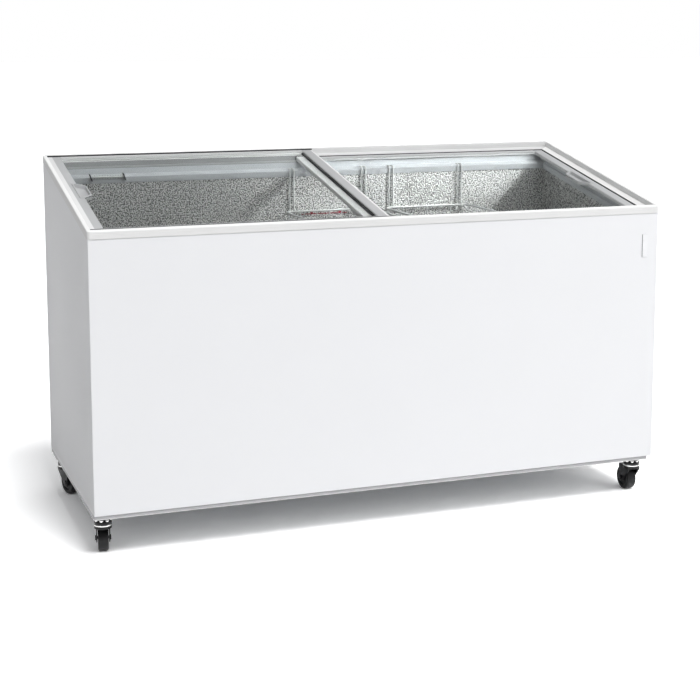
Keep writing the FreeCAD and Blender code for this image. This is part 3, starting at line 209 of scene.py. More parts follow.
# A darker copy of frame_white: painted shade for the rear moulding, where the light is weaker.
finish_of("frame_painted_shade", (0.56, 0.56, 0.56), 0.5, 0.04, patch=5, grain=1100, depth=0.012,
          specular=0.2)
# Dark grey for the lower track step of the frame: painted shade in the recess under the lids.
finish_of("track_painted_shade", (0.27, 0.275, 0.28), 0.5, 0.06, patch=6, grain=1000, depth=0.012,
          specular=0.2)
finish_of("throat_plastic", (0.42, 0.435, 0.45), 0.6, 0.07, patch=5, grain=900, depth=0.02,
          specular=0.1)
finish_of("black_seal", (0.012, 0.012, 0.013), 0.8, 0.4, patch=300, grain=2400, depth=0.2,
          stretch=(1, 1, 0.15))
finish_of("lid_plastic", (0.66, 0.66, 0.66), 0.5, 0.03, patch=6, grain=1000, depth=0.012,
          specular=0.2)
# Darker lid plastic: painted shade on the lids' inner edges and in the grips' recesses.
finish_of("lid_painted_shade", (0.42, 0.425, 0.43), 0.5, 0.05, patch=8, grain=900, depth=0.02,
          specular=0.2)
glass()
finish_of("white_wire", (0.47, 0.475, 0.475), 0.42, 0.05, patch=60, grain=800, depth=0.02,
          specular=0.3)
finish_of("copper_pipe", (0.72, 0.36, 0.22), 0.28, 0.25, metal=1.0, patch=70, grain=900,
          depth=0.02)
finish_of("evaporator_aluminium", (0.66, 0.67, 0.68), 0.4, 0.15, metal=1.0, patch=30, grain=700,
          depth=0.03)
finish_of("black_metal", (0.02, 0.02, 0.022), 0.34, 0.3, coat=0.2, patch=30, grain=600,
          depth=0.03)
finish_of("condenser_metal", (0.05, 0.05, 0.055), 0.45, 0.3, metal=0.5, patch=40, grain=700,
          depth=0.03)
finish_of("fan_plastic", (0.05, 0.05, 0.055), 0.5, 0.2, patch=20, grain=800, depth=0.02)
finish_of("drain_plastic", (0.60, 0.60, 0.58), 0.45, 0.06, patch=30, grain=800, depth=0.02)
finish_of("control_plastic", (0.10, 0.10, 0.11), 0.4, 0.12, patch=30, grain=900, depth=0.03)
finish_of("lamp_lens", (0.10, 0.55, 0.16), 0.18, 0.2, coat=0.8, patch=120, grain=500, depth=0.02)
finish_of("badge_white", (0.84, 0.845, 0.86), 0.3, 0.03, patch=50, grain=900, depth=0.01)
finish_of("badge_painted_edge_shade", (0.22, 0.22, 0.23), 0.4, 0.1, patch=50, grain=900, depth=0.01)
finish_of("thermometer_plastic", (0.50, 0.52, 0.53), 0.35, 0.08, patch=50, grain=900, depth=0.02)
finish_of("thermometer_black", (0.012, 0.012, 0.014), 0.4, 0.3, patch=50, grain=900, depth=0.02)
finish_of("mark_red", (0.30, 0.012, 0.03), 0.45, 0.15, patch=60, grain=900, depth=0.01)
finish_of("castor_black", (0.007, 0.007, 0.008), 0.3, 0.3, patch=60, grain=700, depth=0.03,
          specular=0.3)
finish_of("castor_tyre", (0.009, 0.009, 0.010), 0.45, 0.35, patch=80, grain=700, depth=0.05,
          specular=0.3)


# ------------------------------------------------------------------ pieces

def body_of(node):
    """The body that carries a CAD node."""
    for name, nodes in frame["record"]["behaviour"]["bodies"].items():
        if node in nodes:
            return name
    return "cabinet"


def smooth(piece, angle=38):
    """Shade smooth, but keep edges sharper than an angle."""
    for polygon in piece.data.polygons:
        polygon.use_smooth = True
    mesh = bmesh.new()
    mesh.from_mesh(piece.data)
    for edge in mesh.edges:
        if len(edge.link_faces) == 2:
            edge.smooth = edge.calc_face_angle(0) < math.radians(angle)
    mesh.to_mesh(piece.data)
    mesh.free()


def add_piece(name, mesh, material, body, nodes=()):
    """Turn a bmesh into a piece on a body."""
    bmesh.ops.recalc_face_normals(mesh, faces=mesh.faces)
    data = bpy.data.meshes.new(name)
    mesh.to_mesh(data)
    mesh.free()
    piece = bpy.data.objects.new(name, data)
    bpy.context.collection.objects.link(piece)
    data.materials.append(MATERIALS[material])
    smooth(piece)
    settle(piece, body, nodes)
    return piece


def settle(piece, body, nodes=()):
    """Give a piece its body and the CAD nodes it stands for."""
    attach(piece, body)
    if nodes:
        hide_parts(*nodes)


def bevelled(mesh, width, segments=2, angle=25):
    """Round the edges of a bmesh that are sharper than an angle."""
    if width <= 0:
        return
    limit = math.radians(angle)
    sharp = [e for e in mesh.edges if len(e.link_faces) == 2 and e.calc_face_angle(0) > limit]
    bmesh.ops.bevel(mesh, geom=sharp, offset=width, segments=segments, profile=0.5, affect="EDGES",
                    clamp_overlap=True)


def dressed(node, material, width=0.8, segments=2, name=None):
    """A CAD node with its edges rounded, in a material of its own. width is in millimetres."""
    mesh = bmesh.new()
    mesh.from_mesh(frame["nodes"][node].data)
    bmesh.ops.remove_doubles(mesh, verts=mesh.verts, dist=0.01 * MM)
    bmesh.ops.dissolve_limit(mesh, angle_limit=math.radians(1), verts=mesh.verts, edges=mesh.edges)
    bevelled(mesh, width * MM, segments)
    return add_piece(name or f"{node}_dressed", mesh, material, body_of(node), (node,))


def ring_faces(mesh, rings):
    """Skin a list of rings of points, and close its two ends."""
    rows = [[mesh.verts.new(point) for point in ring] for ring in rings]
    count = len(rows[0])
    for first, second in zip(rows, rows[1:]):
        for index in range(count):
            after = (index + 1) % count
            corners = (first[index], first[after], second[after], second[index])
            mesh.faces.new(corners)
    mesh.faces.new(rows[0])
    mesh.faces.new(list(reversed(rows[-1])))


def upright(plan, low, high):
    """A bmesh of a plan outline between two heights, each a function of the point."""
    mesh = bmesh.new()
    ring_faces(mesh, [[(x, y, low(x, y)) for x, y in plan], [(x, y, high(x, y)) for x, y in plan]])
    return mesh


def flat_at(height):
    """A constant height."""
    return lambda x, y: height


def below_deck(drop):
    """A height that follows the deck."""
    return lambda x, y: deck_height(y, drop)


def arc(centre, radius, start, stop, steps=6):
    """Points on an arc in a plane, from one angle to another in degrees."""
    angles = [math.radians(start + (stop - start) * step / steps) for step in range(steps + 1)]
    return [(centre[0] + radius * math.cos(angle), centre[1] + radius * math.sin(angle))
            for angle in angles]


def lathe(profile, axis, centre, steps=48):
    """A bmesh turned about an axis. The profile has (along, radius) pairs."""
    mesh = bmesh.new()
    turn = {"x": Matrix.Rotation(math.pi / 2, 3, "Y"), "z": Matrix.Identity(3)}[axis]
    rows = []
    for along, radius in profile:
        ring = []
        for step in range(steps):
            angle = 2 * math.pi * step / steps
            point = Vector((radius * math.cos(angle), radius * math.sin(angle), along))
            ring.append(Vector(centre) + turn @ point)
        rows.append(ring)
    ring_faces(mesh, rows)
    return mesh


def rounded(points, radius, steps=5):
    """A path with its inner corners turned into arcs."""
    points = [Vector(point) for point in points]
    path = [points[0]]
    for before, corner, after in zip(points, points[1:], points[2:]):
        entry = (before - corner).normalized()
        leave = (after - corner).normalized()
        half = entry.angle(leave) / 2
        shorter = min((before - corner).length, (after - corner).length)
        reach = min(radius / math.tan(half), shorter / 2)
        bend = reach * math.tan(half)
        centre = corner + (entry + leave).normalized() * (bend / math.sin(half))
        start = corner + entry * reach - centre
        stop = corner + leave * reach - centre
        whole = start.angle(stop)
        for step in range(steps + 1):
            share = step / steps
            turned = start * math.sin((1 - share) * whole) + stop * math.sin(share * whole)
            path.append(centre + turned / math.sin(whole))
    path.append(points[-1])
    return path


def wires(name, paths, radius, material, body, nodes=()):
    """Round wires along paths, each (points, closed)."""
    curve = bpy.data.curves.new(name, "CURVE")
    curve.dimensions = "3D"
    curve.bevel_depth = radius
    curve.bevel_resolution = 3
    curve.use_fill_caps = True
    for points, closed in paths:
        spline = curve.splines.new("POLY")
        spline.points.add(len(points) - 1)
        for point, place in zip(spline.points, points):
            point.co = (*place, 1)
        spline.use_cyclic_u = closed
        spline.use_smooth = True
    source = bpy.data.objects.new(f"{name}_path", curve)
    bpy.context.collection.objects.link(source)
    evaluated = source.evaluated_get(bpy.context.evaluated_depsgraph_get())
    data = bpy.data.meshes.new_from_object(evaluated)
    bpy.data.objects.remove(source)
    piece = bpy.data.objects.new(name, data)
    bpy.context.collection.objects.link(piece)
    data.materials.clear()
    data.materials.append(MATERIALS[material])
    for polygon in data.polygons:
        polygon.use_smooth = True
    settle(piece, body, nodes)
    return piece


# ------------------------------------------------------------------ cabinet

FOLD = 12 * MM
FOLD_RADIUS = 2.5 * MM
SEAM = 0.15 * MM
SKIN_FRONT = -(HALF_DEPTH - PANEL - FOLD - SEAM)


def folded_sheet():
    """Front skin with its ends folded round the corners."""
    radius = FOLD_RADIUS
    inner = radius - SHEET
    outer_x = HALF_LENGTH - PANEL
    outer_y = HALF_DEPTH - PANEL
    end_y = outer_y - FOLD
    corner_x = outer_x - radius
    corner_y = outer_y - radius
    outside = [(outer_x, end_y)] + arc((corner_x, corner_y), radius, 0, 90)
    inside = [(outer_x - SHEET, end_y)] + arc((corner_x, corner_y), inner, 0, 90)
    left = [(-x, y) for x, y in reversed(outside)]
    back_left = [(-x, y) for x, y in inside]
    plan = outside + left + back_left + list(reversed(inside))
    plan = [(x, -y) for x, y in plan]
    mesh = upright(plan, flat_at(FOOT), below_deck(SKIRT))
    add_piece("front_skin", mesh, "white_steel", "cabinet", ("front_panel",))


def side_sheet(name, side, low, high, node):
    """Flat side skin between the fold of the front one and the rear panel."""
    outer = side * (HALF_LENGTH - PANEL)
    inner = side * (HALF_LENGTH - PANEL - SHEET)
    rear = REAR_TOP[1] - SHEET - SEAM
    plan = [(inner, SKIN_FRONT), (outer, SKIN_FRONT), (outer, rear), (inner, rear)]
    mesh = upright(plan, low, high)
    bevelled(mesh, 0.2 * MM, 1)
    add_piece(name, mesh, "white_steel", "cabinet", (node,))


def build_skin():
    """Outer sheets. The slotted rear panel and compressor cover keep their own shape."""
    folded_sheet()
    side_sheet("left_skin", -1, flat_at(FOOT), below_deck(SKIRT), "left_panel")
    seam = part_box("right_panel")[0][2]
    side_sheet("right_skin", 1, flat_at(seam), below_deck(SKIRT), "right_panel")
    dressed("rear_panel", "white_steel", 0.2, 1)
    cover = dressed("compressor_cover", "white_steel", 0.3, 1)
    for vertex in cover.data.vertices:
        vertex.co.y = max(vertex.co.y, SKIN_FRONT)


def build_base():
    """Rails under the cabinet, with a lighter turned-out lip along the lower edge."""
    dressed("long_base_rails", "base_rail", 0.8)
    dressed("end_base_rails", "base_rail", 0.8)
    low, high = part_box("long_base_rails")
    lip = 1.6 * MM
    reach = 1.2 * MM
    for name, y, side in (("front_rail_lip", low[1], -1), ("rear_rail_lip", high[1], 1)):
        plan = [(low[0], y), (high[0], y), (high[0], y + side * reach), (low[0], y + side * reach)]
        mesh = upright(plan, flat_at(low[2]), flat_at(low[2] + lip))
        bevelled(mesh, 0.4 * MM)
        add_piece(name, mesh, "lid_plastic", "cabinet")


# ------------------------------------------------------------------ top frame

# Tracks are given as (drop, inset).
LIP = 11 * MM
UPPER_TRACK = (15 * MM, 37 * MM)
LOWER_TRACK = (28.5 * MM, 50 * MM)
FRAME_DROP = 31 * MM
SKIRT_WIDTH = 3 * MM
CORNER = 9 * MM
TRACK_GROOVES = (21 * MM, 29 * MM)
LIP_RIDGES = (5 * MM, 10 * MM)


def frame_profile():
    """Section of the top frame as (inset, drop), from the outer foot over the lip to the inside."""
    crown = 3.2 * MM
    edge = 1.2 * MM
    outer = [(crown - x, crown - y) for x, y in arc((0, 0), crown, 0, 90, 5)]
    inner = [(LIP - edge + x, edge - y) for x, y in arc((0, 0), edge, 90, 0, 3)]
    rib = 0.5 * MM
    ridge = 0.25 * MM
    upper_drop, upper_inset = UPPER_TRACK
    lower_drop, lower_inset = LOWER_TRACK
    points = [(SKIRT_WIDTH, SKIRT), (0.6 * MM, SKIRT), (0.0, SKIRT - 0.6 * MM)]
    points += [(0.0, 8.2 * MM), (0.35 * MM, 7.9 * MM), (0.35 * MM, 7.3 * MM), (0.0, 7.0 * MM)]
    points += outer + inner
    for drop in LIP_RIDGES:
        points += [(LIP, drop - ridge), (LIP + ridge, drop), (LIP, drop + ridge)]
    points += [(LIP, upper_drop - rib), (LIP + rib, upper_drop)]
    for inset in TRACK_GROOVES:
        points += [(inset - rib, upper_drop), (inset, upper_drop + rib), (inset + rib, upper_drop)]
    points += [(upper_inset - rib, upper_drop), (upper_inset, upper_drop + rib)]
    points += [(upper_inset, lower_drop - rib), (upper_inset + rib, lower_drop)]
    points += [(lower_inset - rib, lower_drop), (lower_inset, lower_drop + rib)]
    points += [(lower_inset, FRAME_DROP), (SKIRT_WIDTH, FRAME_DROP)]
    return points


def ring_corner(inset, drop, across, along, angle):
    """A point of the frame ring in one corner. The angle is 0 at the end, 90 at the long side."""
    if inset < CORNER:
        x = HALF_LENGTH - CORNER + (CORNER - inset) * math.cos(math.radians(angle))
        y = HALF_DEPTH - CORNER + (CORNER - inset) * math.sin(math.radians(angle))
    else:
        x = HALF_LENGTH - inset
        y = HALF_DEPTH - inset
    return (across * x, along * y, deck_height(along * y, drop))


def frame_side(name, first, second, long_side, profile, material, nodes):
    """One side of a ring between its two mitres, with its inner track step in dark grey as painted shade of the
    recess.
    """
    steps = 5
    sweep = range(steps + 1)
    turns = [45 + 45 * s / steps if long_side else 45 - 45 * s / steps for s in sweep]
    rings = [[ring_corner(i, d, *first, turn) for i, d in profile] for turn in turns]
    rings += [[ring_corner(i, d, *second, turn) for i, d in profile] for turn in reversed(turns)]
    mesh = bmesh.new()
    ring_faces(mesh, rings)
    bmesh.ops.remove_doubles(mesh, verts=mesh.verts, dist=0.02 * MM)
    bmesh.ops.dissolve_degenerate(mesh, edges=mesh.edges, dist=0.01 * MM)
    piece = add_piece(name, mesh, material, "cabinet", nodes)
    piece.data.materials.append(MATERIALS["track_painted_shade"])
    # Faces beyond the upper track take the dark grey, painted shade of the step down.
    for polygon in piece.data.polygons:
        x, y, _ = polygon.center
        if min(HALF_LENGTH - abs(x), HALF_DEPTH - abs(y)) > UPPER_TRACK[1] - 0.5 * MM:
            polygon.material_index = 1
    return piece


def build_top_frame():
    """Four mitred mouldings round the top, the rear one a darker grey as painted shade of the weaker light at the
    rear.
    """
    profile = frame_profile()
    sides = (
        ("front", (-1, -1), (1, -1), True),
        ("rear", (-1, 1), (1, 1), True),
        ("left", (-1, -1), (-1, 1), False),
        ("right", (1, -1), (1, 1), False),
    )
    for side, first, second, long_side in sides:
        # The rear moulding takes the darker copy, which paints the weaker light at the rear.
        material = "frame_painted_shade" if side == "rear" else "frame_white"
        frame_side(f"{side}_frame_moulding", first, second, long_side, profile, material,
                   (f"top_frame_{side}",))


# ------------------------------------------------------------------ lids

def two_tone(piece, axis, edges, material):
    """Give the faces of a piece between pairs of positions along an axis a second material."""
    normal = Vector((1, 0, 0)) if axis == 0 else Vector((0, 1, 0))
    piece.data.materials.append(MATERIALS[material])
    mesh = bmesh.new()
    mesh.from_mesh(piece.data)
    for low, high in edges:
        for place in (low, high):
            everything = list(mesh.verts) + list(mesh.edges) + list(mesh.faces)
            bmesh.ops.bisect_plane(mesh, geom=everything, plane_co=normal * place, plane_no=normal)
    for face in mesh.faces:
        middle = face.calc_center_median()[axis]
        if any(low < middle < high for low, high in edges):
            face.material_index = 1
    mesh.to_mesh(piece.data)
    mesh.free()


LID_BAR = 12 * MM
LID_RIM = 4 * MM
OUTER_STRIP = 34 * MM
OUTER_STRIP_WHITE = 12 * MM
MULLION_STRIP = 31 * MM
MULLION_WHITE = 6 * MM
LOWER_STRIP = 28 * MM


def build_lids():
    """Sliding lids: glass in pale mouldings, whose inner edges and grips are a darker grey, painted shade that
    stands in for a lowered step and, in the grips, a recess.
    """
    for lid in ("upper_lid", "lower_lid"):
        low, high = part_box(f"{lid}_bars")
        bars = dressed(f"{lid}_bars", "lid_plastic", 1.2, 3)
        front = (low[1] + LID_RIM, low[1] + LID_BAR)
        rear = (high[1] - LID_BAR, high[1] - LID_RIM)
        # The inner part of the front and rear bars is darker as painted shade.
        two_tone(bars, 1, (front, rear), "lid_painted_shade")
        ends = dressed(f"{lid}_end_strips", "lid_plastic", 1.2, 3)
        low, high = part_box(f"{lid}_end_strips")
        # The inner parts of the end strips are darker as painted shade.
        if lid == "upper_lid":
            painted_shade_spans = ((low[0] + OUTER_STRIP_WHITE, low[0] + OUTER_STRIP),
                      (high[0] - MULLION_STRIP, high[0] - MULLION_WHITE))
        else:
            painted_shade_spans = ((high[0] - LOWER_STRIP, high[0]),)
        two_tone(ends, 0, painted_shade_spans, "lid_painted_shade")
        # The grip is darker as painted shade of its recess.
        dressed(f"{lid}_grip", "lid_painted_shade", 0.6, 2)
        dressed(f"{lid}_glass", "lid_glass", 0.4, 1)


# ------------------------------------------------------------------ baskets

WIRE = 1.5 * MM
RIM = 3 * MM
HOOK = 2 * MM
THROAT_FACE = 78.5 * MM
BASKET_GAP = 9 * MM
RIM_DROP = 45 * MM
LEDGE_DROP = 47 * MM
HOOK_REACH = 16 * MM
HANGER_HALF = 6 * MM
HANGER_SPREAD = 110 * MM
POSTS = 7
STAVES = 9
POST_MARGIN = 18 * MM
STAVE_MARGIN = 22 * MM
BASKET_BEND = 22 * MM
WIRE_BEND = 10 * MM
CLEARANCE = 0.3 * MM


def build_basket(name):
    """Welded wire basket with looped hangers."""
    low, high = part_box(name)
    left = low[0] + RIM
    right = high[0] - RIM
    near = -HALF_DEPTH + THROAT_FACE + BASKET_GAP
    far = -near
    top = deck_height(-HALF_DEPTH) - RIM_DROP - RIM
    foot = low[2] + RIM
    basket_rings(name, left, right, near, far, (top, (top + foot) / 2, foot))
    basket_mesh(name, left, right, near, far, top, foot)
    basket_hangers(name, (left + right) / 2, high[0] - HOOK, near, far, top)


def basket_rings(name, left, right, near, far, heights):
    """Thick closed wires round the basket."""
    middle = (left + (right - left) / 2, near)
    loop = [middle, (right, near), (right, far), (left, far), (left, near), middle]
    paths = []
    for height in heights:
        path = rounded([(x, y, height) for x, y in loop], BASKET_BEND, 6)
        paths.append((path[:-1], True))
    wires(f"{name}_rings", paths, RIM, "white_wire", name, (name,))


def basket_mesh(name, left, right, near, far, top, foot):
    """Thin wires across the basket, and thin wires along it above them."""
    paths = []
    inset = RIM + WIRE
    floor = foot + inset
    for number in range(POSTS):
        x = left + POST_MARGIN + number * (right - left - 2 * POST_MARGIN) / (POSTS - 1)
        path = [(x, near + inset, top), (x, near + inset, floor), (x, far - inset, floor),
                (x, far - inset, top)]
        paths.append((rounded(path, WIRE_BEND), False))
    floor += 2 * WIRE
    for number in range(STAVES):
        y = near + STAVE_MARGIN + number * (far - near - 2 * STAVE_MARGIN) / (STAVES - 1)
        path = [(left + inset, y, top), (left + inset, y, floor), (right - inset, y, floor),
                (right - inset, y, top)]
        paths.append((rounded(path, WIRE_BEND), False))
    wires(f"{name}_mesh", paths, WIRE, "white_wire", name)


def basket_hangers(name, centre, limit, near, far, top):
    """Two rear and two front hangers, whose hooks lie on the ledges of the throat."""
    paths = []
    rear_face = HALF_DEPTH - THROAT_FACE - CLEARANCE - HOOK
    hook_end = HALF_DEPTH - THROAT_FACE + HOOK_REACH
    rear_ledge = deck_height(hook_end, LEDGE_DROP) + CLEARANCE + HOOK
    front_face = -HALF_DEPTH + THROAT_FACE
    front_end = front_face - HOOK_REACH
    front_ledge = deck_height(front_face, LEDGE_DROP) + CLEARANCE + HOOK
    for side in (-1, 1):
        x = centre + side * HANGER_SPREAD
        rear = rear_hanger(x, limit, far, rear_face, hook_end, rear_ledge, top)
        front = front_hanger(x, near, front_end, front_ledge, top)
        paths += [(rear, False), (front, False)]
    wires(f"{name}_hangers", paths, HOOK, "white_wire", name)


def rear_hanger(x, limit, rim_y, face, end, ledge, top):
    """A rear hanger in one wire: feet splayed under the rim, uprights, a hook over the ledge."""
    half = HANGER_HALF
    foot = top - 16 * MM
    foot_y = rim_y - 1 * MM
    bend = top + 6 * MM
    loop = [
        (x - half - 8 * MM, foot_y, foot),
        (x - half, face, bend),
        (x - half, face, ledge),
        (x - half, end, ledge),
        (x + half, end, ledge),
        (x + half, face, ledge),
        (x + half, face, bend),
        (min(x + half + 26 * MM, limit), foot_y, foot),
    ]
    return rounded(loop, 5.5 * MM, 4)


def front_hanger(x, rim_y, end, ledge, top):
    """One wire bent into a front hanger: up from the rim and forward onto the ledge."""
    half = HANGER_HALF
    loop = [
        (x - half - 5 * MM, rim_y, top),
        (x - half, rim_y, top + 11 * MM),
        (x - half, rim_y, ledge),
        (x - half, end, ledge),
        (x + half, end, ledge),
        (x + half, rim_y, ledge),
        (x + half, rim_y, top + 11 * MM),
        (x + half + 5 * MM, rim_y, top),
    ]
    return rounded(loop, 4.5 * MM, 4)


# ------------------------------------------------------------------ thermometer, mark and badge

def leaning_panel(left, right, lean, front, back, upper, lower):
    """A panel between two drops, whose foot is shifted to the right by its lean."""
    mesh = bmesh.new()
    rings = []
    for y in (front, back):
        foot = deck_height(y, lower)
        head = deck_height(y, upper)
        rings.append([(left + lean, y, foot), (right + lean, y, foot), (right, y, head),
                      (left, y, head)])
    ring_faces(mesh, rings)
    bevelled(mesh, 0.7 * MM)
    return mesh


def build_thermometer():
    """Tube thermometer on the rear of the throat, held by two dark slanted clips."""
    low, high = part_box("thermometer")
    face = high[1]
    depth = 5 * MM
    clip = 5 * MM
    lean = 7 * MM
    upper = 37 * MM
    lower = 54 * MM
    start = low[0] + clip
    stop = high[0] - clip

    mesh = leaning_panel(start + clip, stop - clip, 0, face - depth * 0.5, face,
                         upper + 3 * MM, lower - 3 * MM)
    add_piece("thermometer_case", mesh, "thermometer_plastic", "cabinet",
              ("thermometer",))
    middle = (upper + lower) / 2
    axis_y = face - depth * 0.65
    long = stop - start - 2 * clip
    tip = 0.6 * MM
    tube = lathe([(0, 0.4 * MM), (tip, 2.0 * MM), (long, 2.0 * MM), (long + tip, 0.4 * MM)], "x",
                 (start + clip, axis_y, deck_height(axis_y, middle)), 20)
    add_piece("thermometer_tube", tube, "white_wire", "cabinet")
    for number, x in enumerate((low[0], high[0] - clip - lean)):
        mesh = leaning_panel(x, x + clip * 0.7, lean, face - 9 * MM, face,
                             upper - 1.2 * MM, lower + 0.6 * MM)
        add_piece(f"thermometer_clip_{number}", mesh, "thermometer_black", "cabinet")
    marks = bmesh.new()
    count = 11
    margin = 6 * MM
    for number in range(count):
        x = start + clip + margin + number * (long - 2 * margin) / (count - 1)
        tall = 2.6 * MM if number % 5 == 0 else 1.5 * MM
        for part in (-1, 1):
            centre_z = deck_height(face - depth * 0.5, middle) + part * 3.9 * MM
            bar = bmesh.ops.create_cube(marks, size=1)["verts"]
            bmesh.ops.scale(marks, verts=bar, vec=(0.9 * MM, 0.3 * MM, tall))
            bmesh.ops.translate(marks, verts=bar, vec=(x, face - depth * 0.55, centre_z))
    add_piece("thermometer_scale", marks, "thermometer_black", "cabinet")


def build_load_mark():
    """Red load limit line with two downward triangles on the rear wall of the tank."""
    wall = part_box("liner_long_walls")[1][1] - SHEET
    thickness = 0.3 * MM
    left = -60 * MM
    right = 87 * MM
    height = deck_height(-HALF_DEPTH) - 59 * MM
    line_top = height + 2.6 * MM
    line = [(left, height), (right, height), (right, line_top), (left, line_top)]
    mesh = bmesh.new()
    ring_faces(mesh, [[(x, y, z) for x, z in line] for y in (wall, wall - thickness)])
    half = 8 * MM
    tip_top = height + 9 * MM
    for x in (left + 38 * MM, right - 22 * MM):
        tip = [(x, height), (x + half, tip_top), (x - half, tip_top)]
        ring_faces(mesh, [[(px, y, pz) for px, pz in tip] for y in (wall, wall - 1.5 * thickness)])
    add_piece("load_limit_mark", mesh, "mark_red", "cabinet")


def build_badge():
    """Bare plate whose left edge shows as a fine grey line, painted shade along that edge."""
    low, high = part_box("badge_plate")
    line = 1.1 * MM
    margin = 0.1 * MM
    proud = 0.25 * MM
    # The dark plate behind shows at the left edge as painted shade.
    dressed("badge_plate", "badge_painted_edge_shade", 0.3)
    plan = [(low[0] + line, low[2] + margin), (high[0] - margin, low[2] + margin),
            (high[0] - margin, high[2] - margin), (low[0] + line, high[2] - margin)]
    mesh = bmesh.new()
    ring_faces(mesh, [[(x, y, z) for x, z in plan] for y in (low[1], low[1] - proud)])
    bevelled(mesh, 0.1 * MM, 1)
    add_piece("badge_face", mesh, "badge_white", "cabinet")


# ------------------------------------------------------------------ castors

def build_castors():
    """Plates, zinc ball races, black forks and tyred wheels."""
    dressed("castor_plates", "black_metal", 0.6)
    for corner in ("front_left", "front_right", "rear_left", "rear_right"):
        build_castor(corner)
    dressed("castor_bolts", "bright_zinc", 0.5)


def build_castor(corner):
    """One castor. Its swivel axis and its axle come from its joints."""
    swivel = Vector(joint_named(f"castor_{corner}_swivel")["pos_m"])
    wheel_joint = joint_named(f"wheel_{corner}_spin")
    axle = Vector(wheel_joint["pos_m"])
    along = Vector(wheel_joint["axis"]).normalized()
    dressed(f"castor_{corner}_fork", "castor_black", 1.2, 3)
    race(corner, swivel)
    tyre(corner, axle, along)


RACE_RADIUS = 22.5 * MM
RACE_SEAM = 6 * MM
BULGE_RADIUS = 5.2 * MM
BULGES = 8
TYRE_RADIUS = 32.5 * MM
TYRE_HALF_WIDTH = 13 * MM


def race(corner, swivel):
    """Ball race on the swivel: a bell in black as painted shade under the plate, with bright bulges, and a bright
    ring below it.
    """
    low, high = (side[2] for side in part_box("castor_heads"))
    wide = RACE_RADIUS
    seam = low + RACE_SEAM
    centre = (swivel.x, swivel.y, 0)
    bell = [(seam, wide - 1.5 * MM), (seam + 1.5 * MM, wide - 0.2 * MM), (seam + 5 * MM, wide),
            (seam + 9 * MM, wide - 1.5 * MM), (seam + 12 * MM, wide - 5 * MM),
            (seam + 14.5 * MM, wide - 8.5 * MM), (seam + 18 * MM, wide - 9.5 * MM),
            (high, wide - 9.5 * MM)]
    ring = [(low, wide - 3.5 * MM), (low + 0.6 * MM, wide - 1.2 * MM), (low + 2 * MM, wide),
            (seam - 1.5 * MM, wide), (seam, wide - 1.5 * MM)]
    # The bell is black as painted shade and dark reflection under the plate.
    add_piece(f"{corner}_race_bell", lathe(bell, "z", centre), "castor_black", "cabinet",
              ("castor_heads",))
    add_piece(f"{corner}_race_ring", lathe(ring, "z", centre), "bright_zinc", "cabinet")
    balls = bmesh.new()
    for number in range(BULGES):
        angle = 2 * math.pi * (number + 0.5) / BULGES
        spot = Vector((math.cos(angle), math.sin(angle), 0)) * (wide - BULGE_RADIUS)
        ball = bmesh.ops.create_uvsphere(balls, u_segments=16, v_segments=10, radius=BULGE_RADIUS)
        place = Vector(centre) + spot + Vector((0, 0, seam + 10 * MM))
        bmesh.ops.translate(balls, verts=ball["verts"], vec=place)
    add_piece(f"{corner}_race_bulges", balls, "bright_zinc", "cabinet")


def joint_named(name):
    """A joint of the frame."""
    for joint in frame["joints"]:
        if joint["name"] == name:
            return joint
    raise KeyError(name)


def tyre(corner, axle, along):
    """Wheel with a soft tread, a stepped hub and a boss."""
    half = TYRE_HALF_WIDTH
    radius = TYRE_RADIUS
    tread = 4 * MM
    hub = [(-half + 1 * MM, 4.05 * MM), (-half, 4.5 * MM), (-half, 9 * MM),
           (-half + 3.5 * MM, 11 * MM), (-half + 3.5 * MM, 20 * MM), (-half + 0.6 * MM, 22 * MM),
           (-half, 23 * MM), (-half, radius - tread)]
    turns = [math.radians(angle) for angle in (15, 30, 45, 60, 75, 90)]
    profile = hub + [(-half + tread - tread * math.cos(turn),
                      radius - tread + tread * math.sin(turn)) for turn in turns]
    mirrored = [(-x, r) for x, r in reversed(profile)]
    ring = profile + mirrored
    mesh = bmesh.new()
    turn = along.to_track_quat("Z", "Y").to_matrix()
    steps = 64
    rows = []
    for step in range(steps):
        angle = 2 * math.pi * step / steps
        rows.append([axle + turn @ Vector((r * math.cos(angle), r * math.sin(angle), x))
                     for x, r in ring])
    grid = [[mesh.verts.new(point) for point in row] for row in rows]
    for first, second in zip(grid, grid[1:] + grid[:1]):
        for index in range(len(ring)):
            after = (index + 1) % len(ring)
            mesh.faces.new((first[index], first[after], second[after], second[index]))
    add_piece(f"{corner}_wheel", mesh, "castor_tyre", f"wheel_{corner}",
              (f"castor_{corner}_wheel",))


# ------------------------------------------------------------------ carried-over nodes

KEPT = {
    "bottom_panel": "zinc_steel", "insulation_foam": "foam",
    "liner_long_walls": "stucco_aluminium", "upper_lid_seals": "black_seal",
    "liner_ends": "stucco_aluminium", "liner_floor": "stucco_aluminium",
    "bay_sheet": "zinc_steel", "compressor": "black_metal", "compressor_feet": "castor_tyre",
    "condenser": "condenser_metal", "fan_shroud": "black_metal", "fan_motor": "black_metal",
    "fan_blade": "fan_plastic", "filter_drier": "copper_pipe", "refrigerant_pipes": "copper_pipe",
    "evaporator_coil": "evaporator_aluminium", "lower_lid_seals": "black_seal",
    "drain_tube": "drain_plastic", "drain_plug": "drain_plastic", "thermostat": "control_plastic",
}
DRESSED = {
    "throat_long_mouldings": ("throat_plastic", 0.7),
    "throat_end_mouldings": ("throat_plastic", 0.7),
    "control_plate": ("control_plastic", 0.4), "thermostat_dial": ("lid_plastic", 0.4),
    "pilot_lamps": ("lamp_lens", 0.1), "cable_gland": ("control_plastic", 0.4),
}


